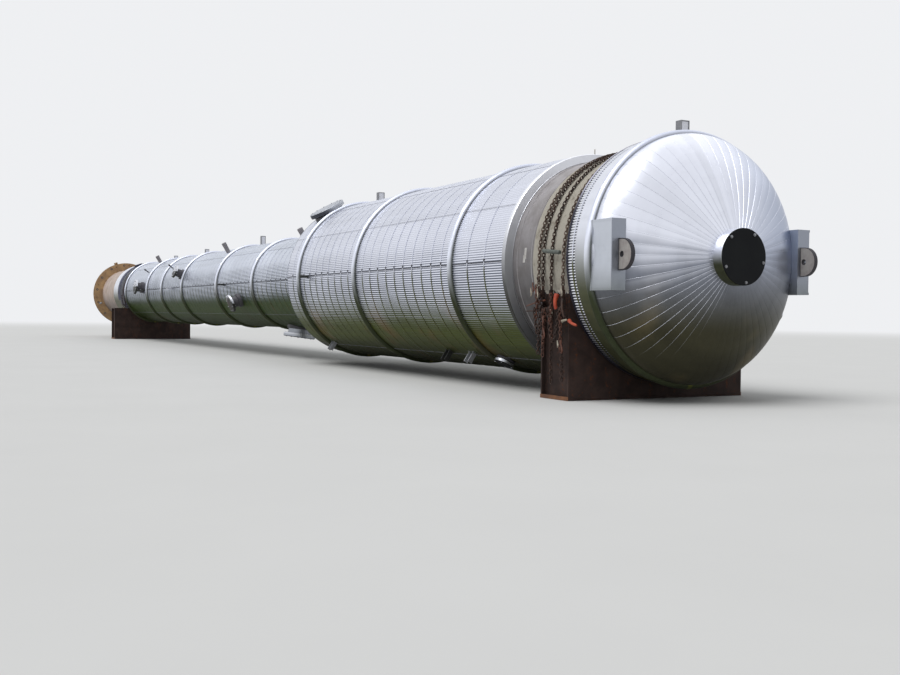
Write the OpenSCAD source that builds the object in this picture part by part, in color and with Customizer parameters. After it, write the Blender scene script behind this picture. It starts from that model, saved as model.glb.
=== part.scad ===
// Distillation column, insulated and jacketed, lying on two transport saddles.
// Millimetres. X runs from the skirt (-X) to the top head (+X), Z is up, and -Y is the
// side with the load binders. Stations are measured along the column from the foot of
// its base ring.

/* [Lower section] */
// Outside radius of the lower jacket
lower_jacket_r = 997; // [980:1:1020]
// Thickness of the insulation and sheet on the lower shell and on the skirt
lower_insulation_t = 105; // [90:1:120]
// Station of the tangent line of the bottom head
bottom_tangent = 3600; // [3500:10:3700]
// Length of the jacket that covers the top of the skirt
skirt_jacket_len = 1220; // [1100:10:1400]
// Station of the ring band that closes the first course
ring_1_at = 8778; // [8700:2:8850]
// Station of the ring band that closes the second course
ring_2_at = 10794; // [10700:2:10900]
// Station of the ring band that closes the third course
ring_3_at = 13242; // [13150:2:13350]
// Station of the ring band that closes the fourth course
ring_4_at = 16758; // [16700:2:16800]
// Station of the ring band that closes the fifth course
ring_5_at = 19674; // [19600:2:19750]
// Distance from the end of the rear gap to the ring band beside it
rear_ring_offset = 280; // [250:5:320]
// Station where the cone begins
cone_start = 22550; // [22300:10:22700]

/* [Upper section] */
// Outside radius of the upper jacket
upper_jacket_r = 1430; // [1400:1:1460]
// Thickness of the insulation and sheet on the upper shell
upper_insulation_t = 110; // [90:1:130]
// Slope of the cone against the axis, in degrees
cone_angle = 30; // [26:1:34]
// Length of the course that follows the cone
course_7_len = 3293; // [3200:1:3400]
// Length of the course that ends at the front gap
course_9_len = 1342; // [1250:1:1450]
// Length of the flashing that closes the jacket at the front gap
end_flashing_len = 90; // [60:5:120]
// Length of that flashing's straight lip
flashing_lip = 30; // [20:1:40]
// Station of the tangent line of the top head
head_tangent = 33200; // [33150:10:33300]

/* [Plate and ribs] */
// Thickness of the shell plate
shell_t = 18; // [12:1:30]
// Radius of the half round ring bands
band_r = 50; // [35:1:60]
// Height of the top head or the bottom head as a share of its radius
head_share = 0.4; // [0.3:0.01:0.45]
// Depth of the bottom head's seam below its tangent line
bottom_seam_drop = 40; // [30:1:60]

/* [Head jacket] */
// Thickness of the jacket over the crown of the top head
crown_cover_t = 192; // [150:1:230]
// Straightness of the jacket's slope: 0 is an ellipse and 1 is a cone with a round nose
head_straight = 0.4; // [0.2:0.05:0.5]
// Number of gores
gore_count = 56; // [40:1:64]
// Width of the lapped seam between two gores
seam_w = 12; // [8:1:16]
// Height of a lapped seam over the sheet
seam_h = 5; // [3:1:6]
// Distance between the end of a seam and the collar
seam_gap = 12; // [5:1:30]

/* [Skirt and base] */
// Outside radius of the base ring
base_ring_r = 1184; // [1160:1:1220]
// Width of the base ring inside the skirt
base_lip = 20; // [10:1:60]
// Thickness of the base ring
base_ring_t = 45; // [30:1:70]
// Distance from the base ring's edge to the middle of the anchor bolts
anchor_edge = 87; // [70:1:110]
// Number of anchor bolts
anchor_count = 14; // [10:1:18]
// Angle of the first anchor bolt from the lowest point, in degrees
anchor_turn = -5; // [-12:1:12]
// Radius of an anchor bolt hole
anchor_hole_r = 23; // [15:1:30]
// Height of the anchor chairs
chair_h = 230; // [150:5:300]
// Thickness of the ring on top of the chairs
chair_ring_t = 32; // [20:1:45]
// Thickness of a chair gusset
gusset_t = 16; // [10:1:24]
// Distance from the base ring's edge to the gussets
gusset_back = 12; // [5:1:25]

/* [Top nozzle] */
// Outside radius of the cover plate and of its collar
cover_r = 310; // [290:1:330]
// Thickness of the cover plate
cover_t = 16; // [8:1:30]
// Length from the jacket crown to the back of the cover plate
collar_len = 60; // [45:1:100]
// Thickness of the collar's sheet round the flange
collar_sheet_t = 12; // [6:1:16]
// Outside radius of the nozzle pipe
top_pipe_r = 203; // [150:1:220]
// Thickness of the flange at the end of the pipe
top_flange_t = 38; // [30:1:42]
// Length of the pipe below the crown of the head
top_pipe_inset = 58; // [40:1:80]

/* [Lifting lugs] */
// Outside radius of the round end of a lug plate
lug_r = 165; // [140:1:200]
// Thickness of a lug plate
lug_t = 45; // [30:1:60]
// Height of a lug plate's outer face over the shell
lug_rise = 10; // [5:1:20]
// Length of the lug's foot on the shell
lug_foot_len = 250; // [150:10:400]
// Radius of the shackle hole
lug_hole_r = 30; // [22:1:40]
// Distance from the tangent line to the shackle hole
lug_hole_out = 400; // [380:5:450]
// Length of a lug box along the column
lug_box_len = 350; // [300:5:365]
// Height of a lug box
lug_box_h = 760; // [650:10:820]
// Depth of a lug box
lug_box_depth = 185; // [170:5:220]
// Depth of a lug box's outer face below the jacket's radius
lug_box_inset = 5; // [0:1:20]

/* [Nozzles and manways] */
// Station of the nozzle beside the skirt
low_nozzle_at = 8130; // [8000:5:8400]
// Angle of that nozzle above the near side, in degrees
low_nozzle_angle = 5; // [0:1:15]
// Radius of that nozzle's pipe
low_nozzle_r = 140; // [110:1:150]
// Radius of that nozzle's flange
low_flange_r = 225; // [200:1:240]
// Gap between the pipe of the nozzle high on the near side and the ring band beside it
mid_nozzle_gap = 2; // [1:1:80]
// Angle of that nozzle above the near side, in degrees
mid_nozzle_angle = 21; // [15:1:30]
// Radius of that nozzle's pipe
mid_nozzle_r = 110; // [90:1:120]
// Radius of that nozzle's flange
mid_flange_r = 172; // [160:1:190]
// Station of the nozzle low on the near side
high_nozzle_at = 18500; // [18300:5:18700]
// Angle of that nozzle above the near side, in degrees
high_nozzle_angle = -22; // [-30:1:-15]
// Radius of that nozzle's pipe
high_nozzle_r = 125; // [100:1:130]
// Radius of that nozzle's flange
high_flange_r = 203; // [190:1:220]
// Distance from the lower jacket to the faces of these nozzles
nozzle_stand = 243; // [200:1:280]
// Thickness of their flanges
nozzle_flange_t = 34; // [24:1:45]
// Wall of a nozzle pipe
nozzle_wall = 12; // [8:1:20]
// Depth of the open bore of a nozzle
nozzle_bore_len = 200; // [100:10:220]
// Number of bolts in a nozzle flange
nozzle_bolts = 8; // [4:1:12]
// Number of bolts in the flange of a small nozzle
small_nozzle_bolts = 4; // [4:1:8]
// Radius of a bolt hole in a flange
flange_bolt_r = 12; // [9:1:13]
// Distance of the flange bolts beyond the middle of the flange's rim
flange_bolt_out = 8; // [0:1:10]
// Distance from the front gap back to the nozzle under the upper section
under_nozzle_back = 1140; // [1100:5:1200]
// Angle of that nozzle below the near side, in degrees
under_nozzle_angle = -62; // [-75:1:-50]
// Radius of that nozzle's pipe
under_nozzle_r = 90; // [70:1:95]
// Radius of that nozzle's flange
under_flange_r = 140; // [138:1:170]
// Distance from the upper jacket to that nozzle's face
under_nozzle_stand = 70; // [60:1:120]
// Distance from the tangent line back to the nozzle on the far side of the head strip
far_nozzle_back = 270; // [240:5:300]
// Angle of that nozzle, in degrees
far_nozzle_angle = 202; // [198:1:210]
// Radius of that nozzle's pipe
far_nozzle_r = 50; // [40:1:55]
// Radius of that nozzle's flange
far_flange_r = 100; // [95:1:110]
// Distance from the upper jacket to that nozzle's face
far_nozzle_stand = 230; // [200:1:235]
// Radius of a manway's neck
manway_r = 255; // [230:1:265]
// Radius of a manway's flange and cover
manway_flange_r = 345; // [325:1:350]
// Number of bolts in a manway's flange
manway_bolts = 12; // [8:1:16]
// Thickness of a manway's cover
manway_cover_t = 40; // [25:1:50]
// Distance from the cone's end to the neck of the upper manway
upper_manway_gap = 54; // [40:1:90]
// Distance from that neck to the first ring band of the upper jacket
manway_ring_gap = 35; // [20:1:80]
// Angle of the upper manway above the near side, in degrees
upper_manway_angle = 60; // [50:1:70]
// Distance from the upper jacket to the face of the upper manway
upper_manway_stand = 85; // [85:1:140]
// Station of the lower manway
lower_manway_at = 20450; // [20200:10:20700]
// Angle of the lower manway below the near side, in degrees
lower_manway_angle = -82; // [-95:1:-70]
// Distance from the lower jacket to the face of the lower manway
lower_manway_stand = 168; // [120:1:200]

/* [Clips and stubs] */
// Height and width of a clip on top of the upper jacket
upper_clip = 150; // [120:5:180]
// Height and width of a clip on top of the lower jacket
lower_clip = 130; // [100:5:160]
// Length of a clip along the column
clip_len = 100; // [60:5:140]
// Thickness of a clip's plates
clip_t = 12; // [8:1:16]
// Distance from the tangent line back to the clip beside the head
head_clip_back = 250; // [200:5:300]
// Distance from the cone's end to the first clip of the upper section
upper_clip_offset = 1094; // [1050:2:1200]
// Distance from the cone's end to the bars on both sides
upper_bar_offset = 1079; // [1050:1:1200]
// Distance of a side bar's end from the jacket
side_bar_stand = 150; // [100:5:150]
// Length of a side bar along the column
side_bar_len = 60; // [40:5:90]
// Height of a side bar
side_bar_h = 50; // [30:5:70]
// Angle of the plate pairs below the near side, in degrees
plate_pair_angle = -57; // [-65:1:-50]
// Distance between the two plates of a pair
plate_pair_gap = 110; // [80:5:140]
// Height of a plate of a pair over the jacket
plate_pair_h = 160; // [120:5:200]
// Width of a plate of a pair
plate_pair_w = 70; // [50:5:100]
// Distance from the cone's end to the first plate pair
plate_pair_offset = 799; // [750:1:850]
// Distance from the front gap back to the last plate pair
plate_pair_back = 1875; // [1800:5:1950]
// Distance between the two plate pairs at the end of the upper section
plate_pair_step = 715; // [650:5:800]
// Radius of a slanted stub
stub_r = 55; // [40:1:70]
// Distance from the lower jacket to the end of a slanted stub
stub_stand = 253; // [200:1:280]
// Angle of the slanted stubs above the near side, in degrees
stub_angle = 60; // [50:1:70]
// Distance from the cone back to the slanted stub beside it
cone_stub_back = 848; // [800:2:900]

/* [Saddles] */
// Height of the column's axis over the foot of the saddles
axis_h = 1626; // [1560:2:1700]
// Width of a saddle across the column
saddle_w = 2590; // [2500:10:2640]
// Length of a saddle along the column
saddle_len = 580; // [460:10:620]
// Distance from the tangent line back to the middle of the front saddle
front_saddle_back = 900; // [860:5:940]
// Length of bare shell before the middle of the front saddle
front_gap_before = 1010; // [950:5:1060]
// Length of bare shell after the middle of the front saddle
front_gap_after = 414; // [390:2:430]
// Length of the padding before the middle of the front saddle
front_pad_before = 390; // [360:5:420]
// Length of the padding after the middle of the front saddle
front_pad_after = 352; // [330:2:370]
// Station of the middle of the rear saddle
rear_saddle_at = 4755; // [4720:5:4790]
// Length of bare shell at the rear saddle
rear_gap_len = 770; // [700:10:800]
// Length of the padding at the rear saddle
rear_pad_len = 670; // [620:10:690]
// Depth of the post tops below the axis at the front
front_post_drop = 402; // [350:2:480]
// Depth of the post tops below the axis at the rear
rear_post_drop = 560; // [500:5:620]
// Least width of the plate on top of a post
post_top_w = 5; // [5:1:30]
// Depth of the post recess in the end of a saddle
post_recess = 60; // [40:2:90]
// Depth of the chain hooks below the post tops at the front
hook_below = 158; // [100:2:240]
// Width of the hook bar beyond the chains
hook_lip = 35; // [25:1:50]
// Width of the hook bar that lies on the saddle's ends
hook_lap = 13; // [10:1:25]
// Thickness of the saddle plates
saddle_plate_t = 25; // [16:1:40]
// Thickness of the padding under the chains
pad_t = 15; // [8:1:24]

/* [Chains] */
// Radius of the space that a chain fills
chain_r = 22; // [14:1:26]
// Length of a load binder
binder_len = 300; // [200:10:400]
// Radius of a load binder
binder_r = 32; // [24:1:40]
// Least distance between a load binder and the end of a saddle
binder_gap = 30; // [10:1:30]
// Distance from the first front chain to the middle of the front saddle
front_chain_1_back = 265; // [240:5:280]
// Distance from the second front chain to the middle of the front saddle
front_chain_2_back = 175; // [100:5:190]
// Distance from the middle of the front saddle to the third chain
front_chain_3_out = 5; // [-50:5:80]
// Distance from the middle of the front saddle to the fourth chain
front_chain_4_out = 245; // [150:5:250]
// Distance between the two chains at the rear
rear_chain_step = 390; // [340:5:440]

/* [Hidden] */

$fn = 180;

// The shells lie under the insulation
lower_shell_r = lower_jacket_r - lower_insulation_t;
upper_shell_r = upper_jacket_r - upper_insulation_t;
cone_end = cone_start + (upper_shell_r - lower_shell_r) / tan(cone_angle);

// The top head with its jacket and its nozzle
head_depth = upper_shell_r * head_share;
head_crown_at = head_tangent + head_depth;
jacket_head_depth = head_depth + crown_cover_t;
crown_at = head_tangent + jacket_head_depth;
cover_back = crown_at + collar_len;
total_len = cover_back + cover_t;

// The bare stretches at the saddles
front_saddle_at = head_tangent - front_saddle_back;
front_gap_start = front_saddle_at - front_gap_before;
front_gap_end = front_saddle_at + front_gap_after;
rear_gap_start = rear_saddle_at - rear_gap_len / 2;
rear_gap_end = rear_saddle_at + rear_gap_len / 2;
front_seat_r = upper_shell_r + pad_t;
rear_seat_r = lower_shell_r + pad_t;

// Ring bands, and the courses that end at them
course_ends = [ring_1_at, ring_2_at, ring_3_at, ring_4_at, ring_5_at];
lower_rings = concat([rear_gap_end + rear_ring_offset], course_ends);
upper_manway_at = cone_end + upper_manway_gap + manway_r;
upper_rings = [upper_manway_at + manway_r + manway_ring_gap + band_r, cone_end + course_7_len,
    front_gap_start - course_9_len];

// Fittings that have their stations from the sections
mid_nozzle_at = ring_3_at - band_r - mid_nozzle_gap - mid_nozzle_r;
lower_clip_at = [8336, 12100, 17315];
lower_bar_at = [12100, 17400];
stub_at = [8474, 16055, cone_start - cone_stub_back];
last_pair_at = front_gap_start - plate_pair_back;
plate_pair_at = [cone_end + plate_pair_offset, last_pair_at - plate_pair_step, last_pair_at];

// Chains, measured from the middle of the saddle that they pull on
front_chain_steps = [-front_chain_1_back, -front_chain_2_back, front_chain_3_out,
    front_chain_4_out];
rear_chain_steps = [-rear_chain_step / 2, rear_chain_step / 2];

anchor_circle_r = base_ring_r - anchor_edge;
lug_inner_at = upper_shell_r + lug_rise - lug_t;
saddle_half = saddle_w / 2;
dome_steps = 18;

// The post tops lie no higher than where the seat meets them
function post_drop(seat_r, drop) =
    let (edge = saddle_half - post_top_w)
    edge < seat_r ? max(drop, sqrt(seat_r * seat_r - edge * edge)) : drop;
front_drop = post_drop(front_seat_r, front_post_drop);
rear_drop = post_drop(rear_seat_r, rear_post_drop);
hook_drop = front_drop + hook_below;

// The front chains hang plumb, or lean out where they would touch the ends of the saddle
front_chain_r = front_seat_r + chain_r;
corner_r = norm([saddle_half, front_drop]);
corner_reach = front_chain_r - binder_r - binder_gap;
chain_lean = max(0, acos(min(1, corner_reach / corner_r)) - atan2(front_drop, saddle_half));
hook_at = (front_chain_r + hook_drop * sin(chain_lean)) / cos(chain_lean);

// Profile of a dished head as points from the rim to the axis
function dish_point(r, depth, at, t, straight = 0) =
    [r * cos(t), at + depth * ((1 - straight) * sin(t) + straight * (1 - cos(t)))];
function dish(r, depth, at, steps = 20, straight = 0) =
    [for (i = [0:steps]) dish_point(r, depth, at, 90 * i / steps, straight)];
function backwards(list) = [for (i = [len(list) - 1:-1:0]) list[i]];

// A point of the head jacket's outer face, moved outward by rise
function dome_point(t, rise = 0) =
    dish_point(upper_jacket_r, jacket_head_depth, head_tangent, t, head_straight)
        + rise * [cos(t), sin(t)];

// Everything that is revolved is drawn as radius against station
module revolved() {
    translate([-total_len / 2, 0, axis_h]) rotate([0, 90, 0]) rotate_extrude() children();
}

module sleeve(inner, outer, from, to) {
    revolved() translate([inner, from]) square([outer - inner, to - from]);
}

// Puts a child with its Z outward at a station and an angle: 0 is -Y, 90 is the top
module outward(station, angle) {
    translate([station - total_len / 2, 0, axis_h]) rotate([90 - angle, 0, 0]) children();
}

module half_round(r, station) {
    revolved() intersection() {
        translate([r, station]) circle(r = band_r, $fn = 24);
        translate([r, station - band_r]) square([band_r, 2 * band_r]);
    }
}

module lower_jacket_body() {
    sleeve(0, lower_jacket_r, 0, cone_start);
}

module upper_jacket_body() {
    sleeve(0, upper_jacket_r, cone_end, head_tangent);
}

// Puts a child at each anchor bolt, with its Z along the column and its X outward
module at_anchors() {
    translate([-total_len / 2, 0, axis_h]) rotate([0, 90, 0])
        for (i = [0:anchor_count - 1])
            rotate([0, 0, i * 360 / anchor_count + anchor_turn]) children();
}

module anchor_holes(from, to) {
    at_anchors() translate([anchor_circle_r, 0, from - 1])
        cylinder(r = anchor_hole_r, h = to - from + 2, $fn = 32);
}

module base_ring() {
    color("burlywood") difference() {
        sleeve(lower_shell_r - shell_t - base_lip, base_ring_r, 0, base_ring_t);
        anchor_holes(0, base_ring_t);
    }
}

module chair_ring() {
    from = base_ring_t + chair_h;
    color("burlywood") difference() {
        sleeve(lower_shell_r, base_ring_r, from, from + chair_ring_t);
        anchor_holes(from, from + chair_ring_t);
    }
}

// Two gussets beside each anchor bolt
module anchor_gussets() {
    spread = 3 * anchor_hole_r;
    color("burlywood") intersection() {
        at_anchors() for (side = [-1, 1])
            translate([0, side * spread - gusset_t / 2, base_ring_t])
                cube([base_ring_r, gusset_t, chair_h]);
        sleeve(lower_shell_r, base_ring_r - gusset_back, base_ring_t, base_ring_t + chair_h);
    }
}

module skirt_shell() {
    color("wheat") sleeve(lower_shell_r - shell_t, lower_shell_r, base_ring_t,
        bottom_tangent - bottom_seam_drop);
}

module bottom_head() {
    r = lower_shell_r - shell_t;
    seam = bottom_tangent - bottom_seam_drop;
    color("dimgray") revolved() polygon(concat(
        [[lower_shell_r, seam], [lower_shell_r, bottom_tangent], [r, bottom_tangent]],
        dish(r - shell_t, -(r - shell_t) * head_share, seam),
        backwards(dish(r, -r * head_share, seam))));
}

module lower_shell() {
    color("dimgray") sleeve(lower_shell_r - shell_t, lower_shell_r, bottom_tangent, cone_start);
}

module cone_shell() {
    color("dimgray") revolved() polygon([
        [lower_shell_r - shell_t, cone_start], [lower_shell_r, cone_start],
        [upper_shell_r, cone_end], [upper_shell_r - shell_t, cone_end]]);
}

module upper_shell() {
    color("dimgray") sleeve(upper_shell_r - shell_t, upper_shell_r, cone_end, head_tangent);
}

module top_head() {
    r = upper_shell_r;
    color("dimgray") difference() {
        revolved() polygon(concat(dish(r, head_depth, head_tangent),
            backwards(dish(r - shell_t, head_depth - shell_t, head_tangent))));
        top_bore(top_pipe_r);
    }
}

module top_bore(r) {
    sleeve(0, r, head_tangent, total_len + 1);
}

module skirt_jacket() {
    color("lightsteelblue") sleeve(lower_shell_r, lower_jacket_r,
        rear_gap_start - skirt_jacket_len, rear_gap_start);
}

module lower_course(number) {
    from = number == 1 ? rear_gap_end : course_ends[number - 2];
    to = number == 6 ? cone_start : course_ends[number - 1];
    color("silver") sleeve(lower_shell_r, lower_jacket_r, from, to);
}

module cone_jacket() {
    color("silver") revolved() polygon([
        [lower_shell_r, cone_start], [lower_jacket_r, cone_start],
        [upper_jacket_r, cone_end], [upper_shell_r, cone_end]]);
}

module upper_course(number) {
    from = number == 7 ? cone_end : upper_rings[number - 7];
    to = number == 9 ? front_gap_start : upper_rings[number - 6];
    color("silver") sleeve(upper_shell_r, upper_jacket_r, from, to);
}

module end_flashing() {
    color("gray") revolved() polygon([
        [upper_shell_r, front_gap_start], [upper_jacket_r, front_gap_start],
        [upper_jacket_r, front_gap_start + flashing_lip],
        [upper_shell_r, front_gap_start + end_flashing_len]]);
}

module head_strip() {
    color("silver") difference() {
        sleeve(upper_shell_r, upper_jacket_r, front_gap_end, head_tangent - band_r);
        near_lug();
        far_lug();
    }
}

module lower_ring_bands() {
    color("silver") for (station = lower_rings) half_round(lower_jacket_r, station);
}

module upper_ring_bands() {
    color("silver") for (station = upper_rings) half_round(upper_jacket_r, station);
}

module head_ring() {
    color("silver") half_round(upper_jacket_r, head_tangent - band_r);
}

module jacket_dome() {
    rim = head_tangent - band_r;
    revolved() polygon(concat([[0, rim], [upper_jacket_r, rim]],
        dish(upper_jacket_r, jacket_head_depth, head_tangent, dome_steps, head_straight)));
}

// The lapped seams run along the dome from its rim to the collar. They share the dome's
// own profile, and stop at the lug boxes.
module gore_seams() {
    first = 1;
    last = acos((cover_r + seam_gap) / upper_jacket_r);
    between = [for (i = [1:dome_steps - 1]) 90 * i / dome_steps];
    turns = concat([first], [for (t = between) if (t < last - 1) t], [last]);
    top = [for (t = turns) dome_point(t, seam_h)];
    root = [for (t = turns) dome_point(t, -2 * seam_h)];
    difference() {
        translate([-total_len / 2, 0, axis_h]) rotate([0, 90, 0])
            for (i = [0:gore_count - 1])
                rotate([90, 0, i * 360 / gore_count]) translate([0, 0, -seam_w / 2])
                    linear_extrude(height = seam_w) polygon(concat(root, backwards(top)));
        for (angle = [0, 180]) lug_box_body(angle, band_r);
    }
}

module head_jacket() {
    rim = head_tangent - band_r - 1;
    color("gainsboro") difference() {
        union() {
            jacket_dome();
            gore_seams();
        }
        revolved() polygon(concat([[0, rim], [upper_shell_r, rim]],
            dish(upper_shell_r, head_depth, head_tangent)));
        top_bore(top_pipe_r);
        near_lug();
        far_lug();
    }
}

module top_nozzle() {
    color("gray") {
        sleeve(top_pipe_r - shell_t, top_pipe_r, head_crown_at - top_pipe_inset, cover_back);
        sleeve(top_pipe_r, cover_r - collar_sheet_t, cover_back - top_flange_t, cover_back);
    }
}

// The collar stands on the dome, which is lower at the collar's edge than at the crown
module nozzle_collar() {
    foot = dome_point(acos(cover_r / upper_jacket_r))[1] - collar_sheet_t;
    color("gainsboro") difference() {
        union() {
            sleeve(top_pipe_r, cover_r, foot, cover_back - top_flange_t);
            sleeve(cover_r - collar_sheet_t, cover_r, cover_back - top_flange_t, cover_back);
        }
        jacket_dome();
    }
}

module nozzle_cover() {
    color("black") sleeve(0, cover_r, cover_back, cover_back + cover_t);
}

// Everything inside the upper shell and the top head
module vessel_body() {
    revolved() polygon(concat([[0, cone_end], [upper_shell_r, cone_end]],
        dish(upper_shell_r, head_depth, head_tangent)));
}

// A lug is a plate with a round end that is seated on the shell beside the head
module lug(angle) {
    foot = head_tangent - lug_foot_len;
    hole = head_tangent + lug_hole_out;
    color("tan") difference() {
        outward(0, angle) translate([0, 0, lug_inner_at]) difference() {
            union() {
                translate([foot, -lug_r, 0]) cube([hole - foot, 2 * lug_r, lug_t]);
                translate([hole, 0, 0]) cylinder(r = lug_r, h = lug_t);
            }
            translate([hole, 0, -1]) cylinder(r = lug_hole_r, h = lug_t + 2, $fn = 48);
        }
        vessel_body();
    }
}

module near_lug() { lug(0); }
module far_lug() { lug(180); }

module lug_box_body(angle, rise = 0) {
    outward(head_tangent, angle)
        translate([0, -lug_box_h / 2, upper_jacket_r - lug_box_inset - lug_box_depth])
            cube([lug_box_len, lug_box_h, lug_box_depth + rise]);
}

// A box closes the jacket round the root of each lug
module lug_boxes() {
    color("lightgray") for (angle = [0, 180])
        difference() {
            lug_box_body(angle);
            jacket_dome();
            lug(angle);
        }
}

// A short pipe with a flange and its bolt holes, from the axis out to its face
module nozzle(station, angle, pipe_r, flange_r, reach, bolts) {
    flange_back = reach - nozzle_flange_t;
    outward(station, angle) difference() {
        union() {
            cylinder(r = pipe_r, h = flange_back);
            translate([0, 0, flange_back]) cylinder(r = flange_r, h = nozzle_flange_t);
        }
        translate([0, 0, reach - nozzle_bore_len])
            cylinder(r = pipe_r - nozzle_wall, h = nozzle_bore_len + 1);
        for (i = [0:bolts - 1])
            rotate([0, 0, (i + 0.5) * 360 / bolts])
                translate([(pipe_r + flange_r) / 2 + flange_bolt_out, 0, flange_back - 1])
                    cylinder(r = flange_bolt_r, h = nozzle_flange_t + 2, $fn = 24);
    }
}

module manway_neck() {
    upper_reach = upper_jacket_r + upper_manway_stand;
    lower_reach = lower_jacket_r + lower_manway_stand;
    color("silver") {
        difference() {
            nozzle(upper_manway_at, upper_manway_angle, manway_r, manway_flange_r, upper_reach,
                manway_bolts);
            upper_jacket_body();
        }
        difference() {
            nozzle(lower_manway_at, lower_manway_angle, manway_r, manway_flange_r, lower_reach,
                manway_bolts);
            lower_jacket_body();
        }
    }
}

module manway_cover() {
    color("dimgray") {
        outward(upper_manway_at, upper_manway_angle)
            translate([0, 0, upper_jacket_r + upper_manway_stand])
                cylinder(r = manway_flange_r, h = manway_cover_t);
        outward(lower_manway_at, lower_manway_angle)
            translate([0, 0, lower_jacket_r + lower_manway_stand])
                cylinder(r = manway_flange_r, h = manway_cover_t);
    }
}

module side_nozzles() {
    reach = lower_jacket_r + nozzle_stand;
    color("dimgray") difference() {
        union() {
            nozzle(low_nozzle_at, low_nozzle_angle, low_nozzle_r, low_flange_r, reach,
                nozzle_bolts);
            nozzle(mid_nozzle_at, mid_nozzle_angle, mid_nozzle_r, mid_flange_r, reach,
                nozzle_bolts);
            nozzle(high_nozzle_at, high_nozzle_angle, high_nozzle_r, high_flange_r, reach,
                nozzle_bolts);
        }
        lower_jacket_body();
    }
}

// Two small nozzles low on the upper section, one on each side
module bottom_nozzles() {
    color("silver") difference() {
        union() {
            nozzle(front_gap_start - under_nozzle_back, under_nozzle_angle, under_nozzle_r,
                under_flange_r, upper_jacket_r + under_nozzle_stand, small_nozzle_bolts);
            nozzle(head_tangent - far_nozzle_back, far_nozzle_angle, far_nozzle_r,
                far_flange_r, upper_jacket_r + far_nozzle_stand, small_nozzle_bolts);
        }
        upper_jacket_body();
    }
}

// A clip is two plates and a cap that stand on the jacket
module clip(station, angle, r, size) {
    outward(station, angle) difference() {
        translate([-clip_len / 2, -size / 2, r - clip_t]) cube([clip_len, size, size + clip_t]);
        translate([-clip_len / 2 - 1, -size / 2 + clip_t, r - clip_t - 1])
            cube([clip_len + 2, size - 2 * clip_t, size + 1]);
    }
}

module side_bar(station, angle, r) {
    outward(station, angle) translate([-side_bar_len / 2, -side_bar_h / 2, 0])
        cube([side_bar_len, side_bar_h, r + side_bar_stand]);
}

// Two plates side by side, standing on the jacket
module plate_pair(station, angle, r) {
    outward(station, angle) for (side = [-1, 1])
        translate([side * plate_pair_gap / 2 - clip_t / 2, -plate_pair_w / 2, r - clip_t])
            cube([clip_t, plate_pair_w, plate_pair_h + clip_t]);
}

// Clips for ladders, platforms and pipes, on the top, on both sides and underneath
module platform_clips() {
    color("silver") {
        difference() {
            union() {
                clip(head_tangent - head_clip_back, 90, upper_jacket_r, upper_clip);
                clip(cone_end + upper_clip_offset, 90, upper_jacket_r, upper_clip);
                for (angle = [0, 180])
                    side_bar(cone_end + upper_bar_offset, angle, upper_jacket_r);
                for (station = plate_pair_at)
                    plate_pair(station, plate_pair_angle, upper_jacket_r);
            }
            upper_jacket_body();
        }
        difference() {
            union() {
                for (station = lower_clip_at) clip(station, 90, lower_jacket_r, lower_clip);
                for (station = lower_bar_at, angle = [0, 180])
                    side_bar(station, angle, lower_jacket_r);
            }
            lower_jacket_body();
        }
    }
}

module slanted_stubs() {
    color("silver") difference() {
        for (station = stub_at)
            outward(station, stub_angle)
                cylinder(r = stub_r, h = lower_jacket_r + stub_stand, $fn = 32);
        lower_jacket_body();
    }
}

// Two cross plates with posts between their ends, on a foot plate
module saddle(seat_r, drop) {
    post_h = axis_h - drop;
    t = saddle_plate_t;
    arm = sqrt(seat_r * seat_r - drop * drop);
    for (side = [-1, 1]) {
        translate([side * (saddle_len / 2 - t / 2) - t / 2, -saddle_half, 0])
            cube([t, saddle_w, post_h]);
        translate([-saddle_len / 2, side * (saddle_half - post_recess - t / 2) - t / 2, 0])
            cube([saddle_len, t, post_h]);
        translate([-saddle_len / 2, side > 0 ? arm : -saddle_half, post_h - t])
            cube([saddle_len, saddle_half - arm, t]);
    }
    translate([-saddle_len / 2, -saddle_half, 0]) cube([saddle_len, saddle_w, t]);
    intersection() {
        translate([-saddle_len / 2, 0, axis_h]) rotate([0, 90, 0])
            cylinder(r = seat_r + t, h = saddle_len);
        translate([-saddle_len / 2, -saddle_half, 0]) cube([saddle_len, saddle_w, post_h]);
    }
}

// The bars on the ends of the front saddle, that the chains are hooked to
module hook_bars() {
    from = saddle_half - hook_lap;
    to = hook_at + hook_lip;
    for (side = [-1, 1])
        translate([-saddle_len / 2, side > 0 ? from : -to, axis_h - hook_drop - saddle_plate_t])
            cube([saddle_len, to - from, saddle_plate_t]);
}

module seat(r) {
    translate([-saddle_len, 0, axis_h]) rotate([0, 90, 0]) cylinder(r = r, h = 2 * saddle_len);
}

module front_saddle() {
    color("saddlebrown") translate([front_saddle_at - total_len / 2, 0, 0]) difference() {
        union() {
            saddle(front_seat_r, front_drop);
            hook_bars();
        }
        seat(front_seat_r);
    }
}

module rear_saddle() {
    color("saddlebrown") translate([rear_saddle_at - total_len / 2, 0, 0]) difference() {
        saddle(rear_seat_r, rear_drop);
        seat(rear_seat_r);
    }
}

module front_padding() {
    color("beige") sleeve(upper_shell_r, front_seat_r, front_saddle_at - front_pad_before,
        front_saddle_at + front_pad_after);
}

module rear_padding() {
    color("dimgray") sleeve(lower_shell_r, rear_seat_r, rear_saddle_at - rear_pad_len / 2,
        rear_saddle_at + rear_pad_len / 2);
}

// Puts a child at the foot of a chain, with its Z up along the chain: side -1 is near
module chain_foot(station, r, lean, drop, side, end_r) {
    reach = (r + drop * sin(lean)) / cos(lean);
    translate([station - total_len / 2, side * reach, axis_h - drop]) rotate([side * lean, 0, 0])
        translate([0, 0, end_r * tan(lean)]) children();
}

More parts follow.
